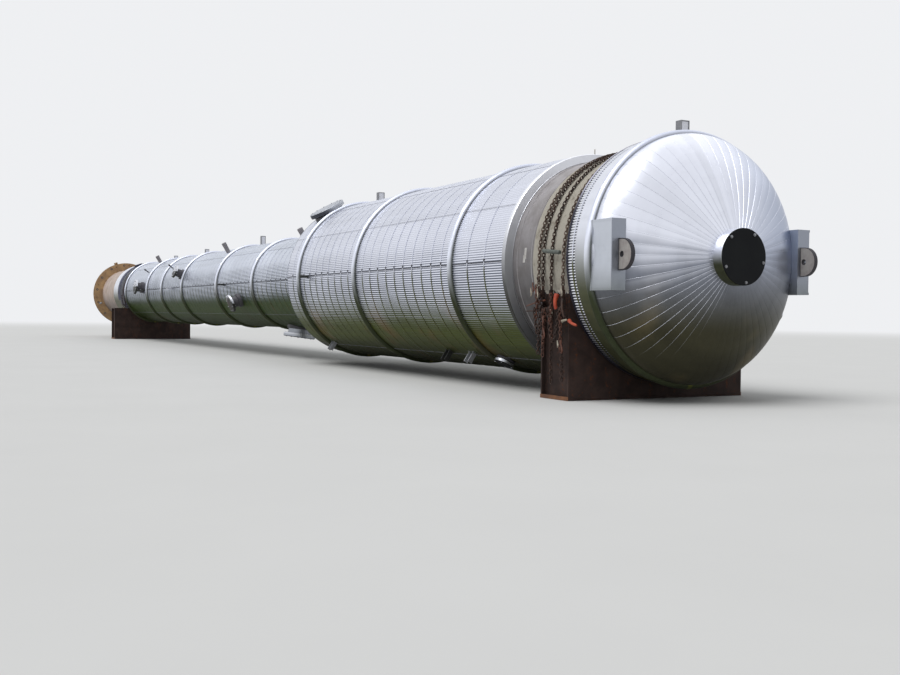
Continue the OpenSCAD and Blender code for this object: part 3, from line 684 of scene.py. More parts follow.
@dataclass
class Shape:
    """Corners and faces of one piece, gathered before they become a mesh."""

    corners: list[Vector] = field(default_factory=list)
    faces: list[tuple[int, ...]] = field(default_factory=list)
    tones: list[float] = field(default_factory=list)

    def loft(
        self, rings: Sequence[Sequence[Vector]], looped: bool = False, capped: bool = False,
        tones: Sequence[float] = (0.5,),
    ) -> None:
        """Joins closed rings of as many points by a skin.

        Args:
            rings: The rings, in order.
            looped: Whether the last ring is joined to the first.
            capped: Whether the first and last rings are filled.
            tones: The shades along each ring, or one shade for all.
        """
        first = len(self.corners)
        count = len(rings[0])
        for i in range(len(rings) if looped else len(rings) - 1):
            here = first + i * count
            there = first + ((i + 1) % len(rings)) * count
            for j in range(count):
                k = (j + 1) % count
                self.faces.append((here + j, here + k, there + k, there + j))
        if capped:
            last = first + (len(rings) - 1) * count
            self.faces.append(tuple(first + j for j in reversed(range(count))))
            self.faces.append(tuple(last + j for j in range(count)))
        for ring in rings:
            self.corners.extend(ring)
            self.tones.extend(tones if len(tones) == count else [tones[0]] * count)

    def revolve(self, column: Column, profile: Profile, count: int = 144) -> "Shape":
        """Adds a closed profile of stations and radii, turned round the column's axis."""
        self.loft([column.ring(*point, count) for point in profile], looped=True)
        return self

    def plate(
        self, place: Matrix, low: Sequence[float], high: Sequence[float], tone: float = 0.5
    ) -> None:
        """Adds a flat plate or bar.

        Args:
            place: The place that its sides follow.
            low: Its lowest corner there.
            high: Its highest corner there.
            tone: Its shade.
        """
        flat = [(low[0], low[1]), (high[0], low[1]), (high[0], high[1]), (low[0], high[1])]
        rings = [[place @ Vector((x, y, z)) for x, y in flat] for z in (low[2], high[2])]
        self.loft(rings, capped=True, tones=(tone,))

    def turned(
        self, place: Matrix, profile: Profile, count: int = 24, looped: bool = False
    ) -> None:
        """Adds a turned piece round the place's Z.

        Args:
            place: The place that it follows.
            profile: Radius and height of each ring, from end to end.
            count: Its number of sides.
            looped: Whether the profile is closed, as for a ring, or filled at its ends.
        """
        turns = [math.tau * i / count for i in range(count)]
        rings = [
            [place @ Vector((radius * math.cos(t), radius * math.sin(t), height)) for t in turns]
            for radius, height in profile
        ]
        self.loft(rings, looped=looped, capped=not looped)

    def hoop(self, place: Matrix, radius: float, bar: float, count: int, sides: int = 8) -> None:
        """Adds a ring of round bar about the place's Y.

        Args:
            place: The place of its middle.
            radius: The radius of its middle line.
            bar: The radius of the bar.
            count: Its number of steps round.
            sides: The bar's number of sides.
        """
        turns = [math.tau * i / count for i in range(count)]
        path = [place @ Vector((radius * math.cos(t), 0.0, radius * math.sin(t))) for t in turns]
        self.tube(path, bar, sides, closed=True)

    def bolt(self, place: Matrix, radius: float, stud: float = 0.0) -> None:
        """Adds a hexagon nut or head with its washer, and the end of a stud.

        Args:
            place: The place of its seat, with Z outward.
            radius: The radius of the nut over its corners.
            stud: How far the stud's end stands out of the nut.
        """
        self.turned(place, [(radius * 1.25, 0.0), (radius * 1.25, radius * 0.22)], 16)
        top = radius * 0.95
        self.turned(
            place, [(radius, radius * 0.22), (radius, top * 0.85), (radius * 0.82, top)], 6
        )
        if stud:
            self.turned(place, [(radius * 0.5, top * 0.9), (radius * 0.5, top + stud)], 10)

    def tube(
        self, path: Sequence[Vector], radius: float | Sequence[float], sides: int = 8,
        closed: bool = False,
    ) -> None:
        """Adds a round bar along a path.

        Args:
            path: The points of its middle line.
            radius: Its radius, or one for each point.
            sides: Its number of sides.
            closed: Whether the path comes back to its start.
        """
        rings = []
        count = len(path)
        normal = None
        turns = [math.tau * j / sides for j in range(sides)]
        for i, point in enumerate(path):
            ahead = path[(i + 1) % count] if closed or i + 1 < count else point
            behind = path[i - 1] if closed or i else point
            along = (ahead - behind).normalized()
            normal = normal if normal is not None else along.orthogonal()
            normal = (normal - along * normal.dot(along)).normalized()
            side = along.cross(normal)
            r = radius if isinstance(radius, float) else radius[i]
            rings.append([point + (normal * math.cos(t) + side * math.sin(t)) * r for t in turns])
        self.loft(rings, looped=closed, capped=not closed)

    def build(
        self, name: str, finish: Finish, replaces: Sequence[str] = (), sharp: float = 40.0,
        bevel: float = 0.0,
    ) -> None:
        """Makes the piece, hangs it under the body and hides the nodes of the frame that it replaces.

        Args:
            name: The piece's name.
            finish: Its finish.
            replaces: The nodes of the frame that it stands for.
            sharp: The angle from which an edge stays sharp, in degrees.
            bevel: The width of its rounded edges, or 0.
        """
        mesh = bpy.data.meshes.new(name)
        mesh.from_pydata([tuple(c) for c in self.corners], [], self.faces)
        faces = bmesh.new()
        faces.from_mesh(mesh)
        bmesh.ops.recalc_face_normals(faces, faces=faces.faces)
        faces.to_mesh(mesh)
        faces.free()
        tone = mesh.attributes.new("tone", "FLOAT", "POINT")
        tone.data.foreach_set("value", self.tones)
        mesh.shade_smooth()
        mesh.set_sharp_from_angle(angle=math.radians(sharp))
        mesh.materials.append(finish.material())
        piece = bpy.data.objects.new(name, mesh)
        bpy.context.scene.collection.objects.link(piece)
        if bevel:
            edges = piece.modifiers.new("edges", "BEVEL")
            edges.width = bevel
            edges.segments = 2
            edges.limit_method = "ANGLE"
            edges.angle_limit = math.radians(sharp)
            edges.harden_normals = True
        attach(piece, BODY)
        if replaces:
            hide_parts(*replaces)
        LOG.info("%s: %d triangles", name, sum(len(f) - 2 for f in self.faces))


@dataclass
class JacketCourse:
    """One course of corrugated sheets between two stations."""

    column: Column
    node: str
    waves: int
    inner: float
    panels: int
    sheets: int = 3
    depth: float = 5.0 * MM
    lap: float = 1.8 * MM
    step: float = 1.0 * MM
    first_seam: float = 0.6
    points_per_wave: int = 6
    hollow_shade: float = 0.0

    def ring(self, station: float, radius: float, offset: float = 0.0) -> list[Vector]:
        """One corrugated ring of the course, lapped at each panel's lower edge.

        Args:
            station: Its station.
            radius: Its radius over the crests.
            offset: How far the sheet stands back.

        Returns:
            Its points.
        """
        count = self.waves * self.points_per_wave
        panel = FULL_TURN / self.panels
        points = []
        for i in range(count):
            angle = FULL_TURN * i / count
            wave = math.cos(math.tau * i / self.points_per_wave)
            share = ((angle - self.first_seam) % panel) / panel
            height = radius + self.depth / 2 * (wave - 1) - offset - self.lap * share
            points.append(self.column.point(station, height, angle))
        return points

    def skin(self, start: float, end: float, outer: float) -> Shape:
        """The course's shape.

        Args:
            start: Its first station.
            end: Its last station.
            outer: Its radius over the crests.

        Returns:
            The shape, closed by a plain inner skin.
        """
        count = self.waves * self.points_per_wave
        rings = [self.column.ring(start, self.inner, count)]
        for i in range(self.sheets):
            for share in (i / self.sheets, (i + 1) / self.sheets):
                station = start + (end - start) * share
                rings.append(self.ring(station, outer, self.step * (i % 2)))
        rings.append(self.column.ring(end, self.inner, count))
        shape = Shape()
        shape.loft(rings, looped=True)
        self.shade(shape, len(rings))
        return shape

    def build(self, finish: Finish) -> None:
        """Builds the course in place of its node.

        Args:
            finish: The finish of its sheets.
        """
        start, end = self.column.reach(self.node)
        shape = self.skin(start, end, self.column.radius(self.node))
        shape.build(f"{self.node}_sheets", finish, [self.node], sharp=55.0)

    def shade(self, shape: Shape, rings: int) -> None:
        """Gives each panel of each sheet its own tone, and paints shade into the hollows between crests.

        Args:
            shape: The course's shape.
            rings: Its number of rings.
        """
        chance = random.Random(self.node)
        count = self.waves * self.points_per_wave
        tones = [[chance.uniform(0.36, 0.64) for _ in range(self.panels)] for _ in range(rings)]
        for i in range(rings):
            for j in range(count):
                angle = (FULL_TURN * j / count - self.first_seam) % FULL_TURN
                tone = tones[(i - 1) // 2][int(angle * self.panels / FULL_TURN)]
                # Painted shade in the hollows of the corrugation.
                hollow = max(0.0, -math.cos(math.tau * j / self.points_per_wave))
                shape.tones[i * count + j] = tone - self.hollow_shade * hollow


@dataclass
class Band:
    """A strip or half round sheet that runs round the column."""

    column: Column
    station: float
    radius: float
    width: float = 19.0 * MM
    height: float = 1.2 * MM
    count: int = 144

    def flat(self, shape: Shape) -> None:
        """Adds flat banding to a shape."""
        half = self.width / 2
        section = [(-half, -1.0 * MM), (-half, self.height * 0.7), (0.0, self.height)]
        section += [(half, self.height * 0.7), (half, -1.0 * MM)]
        self.sweep(shape, section)

    def half_round(
        self, shape: Shape, tones: Sequence[float], first: float = 0.0, turn: float = FULL_TURN
    ) -> None:
        """Adds a half round band, as wide as it is and half as high.

        Args:
            shape: The shape to add it to.
            tones: The shades from the side of the base ring to the side of the head.
            first: The angle where it starts.
            turn: How far it goes round.
        """
        half = self.width / 2
        steps = len(tones) - 1
        section = []
        for i in range(steps + 1):
            arc = math.pi * i / steps
            section.append((-half * math.cos(arc), self.height * math.sin(arc)))
        self.sweep(shape, section, tones, first, turn)

    def sweep(
        self, shape: Shape, section: Profile, tones: Sequence[float] = (0.5,),
        first: float = 0.0, turn: float = FULL_TURN,
    ) -> None:
        """Sweeps a section round the column.

        Args:
            shape: The shape to add it to.
            section: Points along the column and outward, from the band's middle.
            tones: The shade of each point, or one shade for all.
            first: The angle where it starts.
            turn: How far it goes round.
        """
        whole = turn == FULL_TURN
        rings = []
        for i in range(self.count if whole else self.count + 1):
            angle = first + turn * i / self.count
            places = [(self.station + along, self.radius + out) for along, out in section]
            rings.append([self.column.point(*place, angle) for place in places])
        shape.loft(rings, looped=whole, capped=not whole, tones=tones)


@dataclass(frozen=True)
class Section:
    """The courses of one diameter, with the waves and panels that go round them."""

    name: str
    courses: range
    waves: int
    panels: int
    hollow_shade: float
    finish: Finish

    @property
    def nodes(self) -> list[str]:
        """The nodes of its courses."""
        return [f"jacket_course_{number}" for number in self.courses]


@dataclass
class Jacket:
    """The jacket of the column: courses, bands, seams, ring bands, cone and flashings."""

    column: Column
    sections: Sequence[Section] = (
        Section("lower", range(1, 7), 197, 8, 0.0, LOWER_JACKET),
        Section("upper", range(7, 10), 282, 12, 0.9, JACKET),
    )
    pitch: float = 305.0 * MM
    last_pitch: float = 420.0 * MM
    seal_angle: float = 1.7
    ring_width: float = 100.0 * MM
    ring_height: float = 50.0 * MM
    # Across each ring band from the base ring's side to the head's side: a painted highlight over the
    # middle, a painted shade at the head's edge.
    ring_light_and_shade: Sequence[float] = (0.3, 0.7, 1.0, 1.1, 1.2, 1.2, 1.1, 0.8, 0.4, -0.2, -1.6, -2.4)
    joint_angles: Sequence[float] = (31.0, 151.0, 271.0)
    joint_reach: float = 30.0 * MM

    def build(self) -> None:
        """Builds every piece of the jacket."""
        for section in self.sections:
            inner = self.column.radius(f"{section.name}_shell") + 2 * MM
            for node in section.nodes:
                course = JacketCourse(self.column, node, section.waves, inner, section.panels)
                course.hollow_shade = section.hollow_shade
                course.build(section.finish)
        for section in self.sections:
            self.bands(section)
        for section in self.sections:
            self.seams(section)
        self.cone()
        self.skirt_cover()
        for node in ("lower_ring_bands", "upper_ring_bands", "head_ring"):
            self.ring_bands(node)
        self.flashing()

    def band_stations(self, node: str) -> list[float]:
        """The stations of the narrow bands of a course.

        Args:
            node: The course's node.

        Returns:
            The stations.
        """
        start, end = self.column.reach(node)
        pitch = self.last_pitch if node.endswith("9") else self.pitch
        count = max(2, round((end - start) / pitch))
        return [start + (end - start) * i / count for i in range(1, count)]

    def bands(self, section: Section) -> None:
        """Builds the narrow bands of a section, and the seals that hold their ends.

        Args:
            section: The section.
        """
        bands = Shape()
        seals = Shape()
        low, high = (-13 * MM, -19 * MM, -1 * MM), (13 * MM, 19 * MM, 3.2 * MM)
        for node in section.nodes:
            radius = self.column.radius(node)
            for station in self.band_stations(node):
                Band(self.column, station, radius).flat(bands)
                seals.plate(self.column.stand(station, radius, self.seal_angle), low, high)
        bands.build(f"{section.name}_banding", BANDING)
        seals.build(f"{section.name}_band_seals", SEALANT, bevel=1 * MM)

    def seams(self, section: Section) -> None:
        """Builds the beads of sealant along the laps of a section.

        Args:
            section: The section.
        """
        shapes = {SEALANT: Shape(), OLD_SEALANT: Shape()}
        first_seam = JacketCourse.first_seam
        for node in section.nodes:
            start, end = self.column.reach(node)
            radius = self.column.radius(node)
            for i in range(section.panels):
                width = (4 if i else 8) * MM
                angle = first_seam + FULL_TURN * i / section.panels
                low, high = (0.0, -width, -4 * MM), (end - start, 1 * MM, 0.6 * MM)
                shape = shapes[OLD_SEALANT if i else SEALANT]
                shape.plate(self.column.stand(start, radius, angle), low, high)
        for finish, shape in shapes.items():
            shape.build(f"{section.name}_{finish.name}_beads", finish)

    def cone(self, gores: int = 36, steps: int = 6) -> None:
        """Builds the jacket of the cone from gores.

        Args:
            gores: Their number.
            steps: The number of rows in each.
        """
        start, end = self.column.reach("cone_jacket")
        low_r = self.column.radius("jacket_course_6")
        high_r = self.column.radius("jacket_course_7")
        profile = [
            (start + (end - start) * i / steps, low_r + (high_r - low_r) * i / steps)
            for i in range(steps + 1)
        ]
        shape = Shape()
        GoreFan(self.column, gores).skin(shape, profile)
        shape.build("cone_gores", PLAIN, ["cone_jacket"], sharp=30.0)

    def skirt_cover(self, bands: int = 3) -> None:
        """Builds the plain sheet jacket of the skirt with its bands.

        Args:
            bands: The number of bands.
        """
        start, end = self.column.reach("skirt_jacket")
        outer = self.column.radius("skirt_jacket")
        inner = self.column.radius("lower_shell") + 1 * MM
        middle = (start + end) / 2
        lap = 3 * MM
        profile = [(start, inner), (start, outer - lap), (middle, outer - lap)]
        profile += [(middle, outer), (end, outer), (end, inner)]
        sheet = Shape().revolve(self.column, profile)
        sheet.build("skirt_jacket_sheet", PLAIN, ["skirt_jacket"], sharp=30.0)
        strips = Shape()
        for i in range(bands):
            station = start + (end - start) * (0.12 + 0.38 * i)
            Band(self.column, station, outer - (lap if station < middle else 0.0)).flat(strips)
        strips.build("skirt_banding", BANDING)

    def ring_bands(self, node: str) -> None:
        """Builds the half round ring bands of a node, with a cover over each joint.

        Args:
            node: The node's name.
        """
        shape = Shape()
        joints = Shape()
        base = self.column.radius(node) - self.ring_height
        cover = 2 * MM
        for station in self.ring_stations(node):
            band = Band(self.column, station, base, self.ring_width, self.ring_height, 180)
            band.half_round(shape, self.ring_light_and_shade)
            wide, high = self.ring_width + 2 * cover, self.ring_height + cover
            lap = Band(self.column, station, base, wide, high, 2)
            arc = math.degrees(self.joint_reach / base)
            for angle in self.joint_angles:
                lap.half_round(joints, self.ring_light_and_shade, angle - arc, 2 * arc)
        shape.build(f"{node}_sheet", RING_SHEET, [node], sharp=60.0)
        joints.build(f"{node}_joints", BANDING, sharp=60.0)

    def ring_stations(self, node: str) -> list[float]:
        """The stations of a node's ring bands, read from the corners of its mesh.

        Args:
            node: The node's name.

        Returns:
            The middle station of each band.
        """
        outer = self.column.radius(node)
        stations: list[float] = []
        for vertex in bpy.data.objects[node].data.vertices:
            out = math.hypot(vertex.co.y, vertex.co.z - self.column.axis_z)
            station = vertex.co.x - self.column.foot_x
            if out > outer - 1 * MM and all(abs(station - s) > self.ring_width for s in stations):
                stations.append(station)
        return sorted(stations)

    def flashing(self) -> None:
        """Builds the smooth flashing that closes the jacket beside the front saddle."""
        start, end = self.column.reach("end_flashing")
        outer = self.column.radius("end_flashing")
        inner = self.column.radius("upper_shell")
        profile = [(start, inner), (start, outer + 1 * MM), (start + 55 * MM, outer + 1 * MM)]
        profile += [(start + 66 * MM, outer - 6 * MM), (end - 4 * MM, inner + 12 * MM)]
        profile += [(end, inner + 10 * MM), (end, inner)]
        sheet = Shape().revolve(self.column, profile, 180)
        sheet.build("end_flashing_sheet", FLASHING, ["end_flashing"], sharp=20.0)
        rod = Shape()
        top = self.column.stand(start - 0.07, outer, 90.0)
        rod.turned(top, [(0.016, -0.01), (0.016, 4 * MM), (7 * MM, 6 * MM), (6 * MM, 0.085)], 12)
        rod.build("flashing_stud", BARE_STEEL)


@dataclass
class GoreFan:
    """A fan of lapped gores on a profile that is turned round the column's axis."""

    column: Column
    gores: int
    seam_width: float = 9.0 * MM
    seam_height: float = 1.5 * MM
    pillow: float = 1.2 * MM
    inset: float = 8.0 * MM

    def offsets(self, arc: float) -> list[tuple[float, float]]:
        """Places across one gore.

        Args:
            arc: The gore's width there.

        Returns:
            The distance from its seam and the height of each place.
        """
        width = min(self.seam_width, arc * 0.25)
        left = arc - width
        bulge = self.pillow * min(1.0, arc / 0.1)
        return [
            (0.0, 0.0),
            (width * 0.12, self.seam_height),
            (width * 0.80, self.seam_height * 0.9),
            (width, 0.0),
            (width + left * 0.25, bulge * 0.8),
            (width + left * 0.50, bulge),
            (width + left * 0.75, bulge * 0.8),
        ]

    def skin(self, shape: Shape, profile: Profile) -> None:
        """Adds the fan's outer skin, and an inner one that closes it.

        Args:
            shape: The shape to add it to.
            profile: Station and radius from one rim to the other.
        """
        chance = random.Random("gores")
        tones = [chance.uniform(0.28, 0.72) for _ in range(self.gores)]
        rings: list[list[Vector]] = []
        for i, (station, radius) in enumerate(profile):
            before = profile[max(i - 1, 0)]
            after = profile[min(i + 1, len(profile) - 1)]
            out, along = self.outward(after[0] - before[0], after[1] - before[1])
            ring = []
            arc = math.tau * radius / self.gores
            for g in range(self.gores):
                seam = FULL_TURN * (g / self.gores - self.seam_width / 2 / (math.tau * radius))
                for offset, height in self.offsets(arc):
                    angle = seam + math.degrees(offset / radius)
                    ring.append(
                        self.column.point(station + along * height, radius + out * height, angle)
                    )
            rings.append(ring)
        count = len(rings[0])
        rings += [
            self.column.ring(station, radius - self.inset, count)
            for station, radius in (profile[-1], profile[0])
        ]
        per_gore = count // self.gores
        shape.loft(rings, looped=True, tones=[tones[j // per_gore] for j in range(count)])

    @staticmethod
    def outward(run: float, rise: float) -> tuple[float, float]:
        """The direction that looks away from the axis, square to a slope.

        Args:
            run: The slope's step along the column.
            rise: Its step outward.

        Returns:
            Its outward and its lengthwise share.
        """
        length = math.hypot(run, rise)
        out, along = run / length, -rise / length
        return (-out, -along) if out < 0 else (out, along)


@dataclass
class TopHead:
    """The top head's jacket: corrugated strip, flat band, gores, collar and cover plate."""

    column: Column
    gores: int = 56
    depth: float = 720.0 * MM
    straight: float = 0.4
    strip_length: float = 176.0 * MM
    strip_band: float = 118.0 * MM
    seam_gap: float = 12.0 * MM
    cover_bolts: int = 5
    bolt_circle: float = 279.0 * MM
    first_bolt: float = 60.0

    def build(self) -> None:
        """Builds every piece of the head."""
        self.strip()
        self.dome()
        self.collar()
        self.cover()

    def strip(self) -> None:
        """Builds the corrugated strip with its band, and the flat sheet beside it."""
        start, end = self.column.reach("head_strip")
        outer = self.column.radius("head_strip")
        inner = self.column.radius("upper_shell") + 2 * MM
        course = JacketCourse(self.column, "head_strip", 282, inner, 12, 1, 8 * MM, hollow_shade=2.8)
        strip = course.skin(start, start + self.strip_length, outer)
        strip.build("head_strip_sheets", STRIP, ["head_strip"], sharp=55.0)
        band = Shape()
        Band(self.column, start + self.strip_band, outer).flat(band)
        band.build("head_strip_banding", BANDING)
        # The trim's dark finish paints the shade along the strip's edge, and it is light only near the
        # top.
        trim = Shape()
        Band(self.column, start + 14 * MM, outer, 34 * MM, 2.2 * MM, 180).flat(trim)
        trim.build("head_strip_trim", TRIM)
        first = start + self.strip_length - 8 * MM
        profile = [(first, outer - 6 * MM), (first, outer + 1 * MM)]
        profile += [(end, outer + 1 * MM), (end, outer - 6 * MM)]
        flat = Shape().revolve(self.column, profile, 180)
        flat.build("head_flat_band", PLAIN, sharp=30.0)

    def dome(self, steps: int = 28) -> None:
        """Builds the fan of gores, which share the profile of the frame's dome.

        Args:
            steps: The number of rows in each gore.
        """
        tangent = self.column.reach("head_ring")[1]
        rim = self.column.radius("head_strip")
        foot = self.column.radius("nozzle_collar") - self.seam_gap
        last = math.acos(foot / rim)
        profile = [(tangent - 0.02, rim)]
        for i in range(steps + 1):
            turn = last * i / steps
            rise = (1 - self.straight) * math.sin(turn) + self.straight * (1 - math.cos(turn))
            profile.append((tangent + self.depth * rise, rim * math.cos(turn)))
        shape = Shape()
        GoreFan(self.column, self.gores).skin(shape, profile)
        shape.build("head_gores", HEAD_SHEET, ["head_jacket"], sharp=24.0)

    def collar(self) -> None:
        """Builds the collar behind the cover plate."""
        start, end = self.column.reach("nozzle_collar")
        outer = self.column.radius("nozzle_collar")
        profile = [(start - 0.02, outer - 6 * MM), (start - 0.02, outer), (end - 4 * MM, outer)]
        profile += [(end, outer - 3 * MM), (end, outer - 20 * MM)]
        sheet = Shape().revolve(self.column, profile, 96)
        sheet.build("nozzle_collar_sheet", PLAIN, ["nozzle_collar"], sharp=30.0)

    def cover(self) -> None:
        """Builds the black cover plate and its bolts."""
        start, end = self.column.reach("nozzle_cover")
        outer = self.column.radius("nozzle_cover")
        facing = QUARTER_Y
        place = Matrix.Translation(self.column.point(start, 0.0, 0.0)) @ facing
        thick = end - start
        shape = Shape()
        rim = [(outer - 2 * MM, 0.0), (outer, 2 * MM), (outer, thick - 3 * MM)]
        shape.turned(place, [*rim, (outer - 3 * MM, thick)], 96)
        shape.build("nozzle_cover_plate", COVER, ["nozzle_cover"], sharp=30.0)
        bolts = Shape()
        for i in range(self.cover_bolts):
            turn = math.radians(self.first_bolt - FULL_TURN * i / self.cover_bolts)
            spot = Vector((-math.sin(turn), math.cos(turn), 0.0)) * self.bolt_circle
            spot.z = thick
            bolts.bolt(place @ Matrix.Translation(spot), 14 * MM)
        bolts.build("nozzle_cover_bolts", BOLTS, sharp=25.0)


@dataclass
class Lug:
    """A lifting lug with its dark rim and the sheet box round its root."""

    column: Column
    side: Side
    tangent: float = 33.200
    hole_station: float = 33.600
    inner: float = 1.285
    thick: float = 45.0 * MM
    radius: float = 165.0 * MM
    box_length: float = 350.0 * MM
    box_height: float = 760.0 * MM
    box_depth: float = 185.0 * MM
    box_inner: float = 1.240

    def build(self, boxes: Shape) -> None:
        """Dresses the lug plate, and adds its box to the boxes of both lugs.

        Args:
            boxes: The shape that the box goes into.
        """
        dress(f"{self.side.part_name}_lug", LUG)
        self.rim()
        self.box(boxes)
        self.sealing()

    def rim(self, steps: int = 28) -> None:
        """Builds the dark rim along the plate's edge, and a dark liner in its hole that paints its
        shade.

        Args:
            steps: The number of steps round the end.
        """
        place = self.column.stand(self.hole_station, self.inner, self.side.value)
        outline = [(Vector((-0.06, -self.radius, 0.0)), Vector((0.0, -1.0, 0.0)))]
        for i in range(steps + 1):
            turn = math.pi * (i / steps - 0.5)
            way = Vector((math.cos(turn), math.sin(turn), 0.0))
            outline.append((way * self.radius, way))
        outline.append((Vector((-0.06, self.radius, 0.0)), Vector((0.0, 1.0, 0.0))))
        rings = []
        skin = 3 * MM
        for spot, way in outline:
            ends = [(-skin, -1 * MM), (skin, -1 * MM), (skin, self.thick + 1 * MM)]
            ends.append((-2 * skin, self.thick + 1 * MM))
            rings.append([place @ (spot + way * out + Vector((0, 0, z))) for out, z in ends])
        shape = Shape()
        shape.loft(rings, capped=True)
        # Dark liner in the bore: painted shade that makes the hole read black.
        top = self.thick + 1 * MM
        liner = [(0.0285, -1 * MM), (0.0285, top), (0.033, top), (0.033, self.thick - 1 * MM)]
        liner += [(0.0305, self.thick - 2 * MM), (0.0305, 2 * MM), (0.033, 1 * MM), (0.033, -1 * MM)]
        shape.turned(place, liner, 32, looped=True)
        shape.build(f"{self.side.part_name}_lug_rim", RIM)

    def box(self, shape: Shape, rows: int = 24, columns: int = 10) -> None:
        """Adds the sheet box, a little dented.

        Args:
            shape: The shape to add it to.
            rows: The number of rows along its height.
            columns: The number of columns along the column.
        """
        place = self.column.stand(self.tangent, self.box_inner, self.side.value)
        round_off = 6 * MM
        rings = []
        for j in range(rows + 1):
            y = self.box_height * (j / rows - 0.5)
            ring = [Vector((0.0, y, 0.0)), Vector((0.0, y, self.box_depth - round_off))]
            for i in range(columns + 1):
                x = round_off + (self.box_length - 2 * round_off) * i / columns
                dent = noise.noise(Vector((x * 9, y * 6, self.side.value))) * 4 * MM
                ring.append(Vector((x, y, self.box_depth - abs(dent))))
            for i in range(4):
                z = (self.box_depth - round_off) * (1 - i / 3)
                dent = noise.noise(Vector((5.0, y * 7, z * 12))) * 5 * MM
                ring.append(Vector((self.box_length - abs(dent), y, z)))
            rings.append([place @ corner for corner in ring])
        shape.loft(rings, capped=True)

    def sealing(self) -> None:
        """Builds the bead of sealant where the lug leaves its box, and the box's edge strips."""
        place = self.column.stand(self.tangent + self.box_length, self.inner, self.side.value)
        shape = Shape()
        half = self.radius + 5 * MM
        low, high = -6 * MM, self.thick + 6 * MM
        corners = [(-half, low), (half, low), (half, high), (-half, high)]
        path = [place @ Vector((0.0, y, z)) for y, z in corners]
        shape.tube(path, 6 * MM, 6, closed=True)
        shape.build(f"{self.side.part_name}_lug_sealing", SEALANT, sharp=60.0)
        strips = Shape()
        place = self.column.stand(self.tangent, self.box_inner, self.side.value)
        top = self.box_depth + 1.5 * MM
        edge = self.box_height / 2
        for y in (-edge, edge - 0.028):
            low = (-2 * MM, y, self.box_depth - 3 * MM)
            strips.plate(place, low, (self.box_length + 1 * MM, y + 0.028, top), 0.3)
        strips.plate(place, (-0.03, -edge, self.box_depth - 9 * MM), (4 * MM, edge, top), 0.2)
        strips.build(f"{self.side.part_name}_lug_box_strips", BOX_SHEET, bevel=1 * MM)


@dataclass(frozen=True)
class Nozzle:
    """A flanged nozzle or manway of the frame, with the sizes that its bolts follow."""

    station: float
    angle: float
    pipe: float
    flange: float
    jacket: float
    stand: float
    bolts: int

    def place(self, column: Column, out: float = 0.0) -> Matrix:
        """The place at a height over the flange's face."""
        return column.stand(self.station, self.jacket + self.stand + out, self.angle)

    def spot(self, index: int) -> Matrix:
        """The shift from the nozzle's axis to one of its bolts."""
        turn = math.tau * (index + 0.5) / self.bolts
        circle = (self.pipe + self.flange) / 2 + 8 * MM
        return Matrix.Translation(Vector((math.cos(turn), math.sin(turn), 0.0)) * circle)


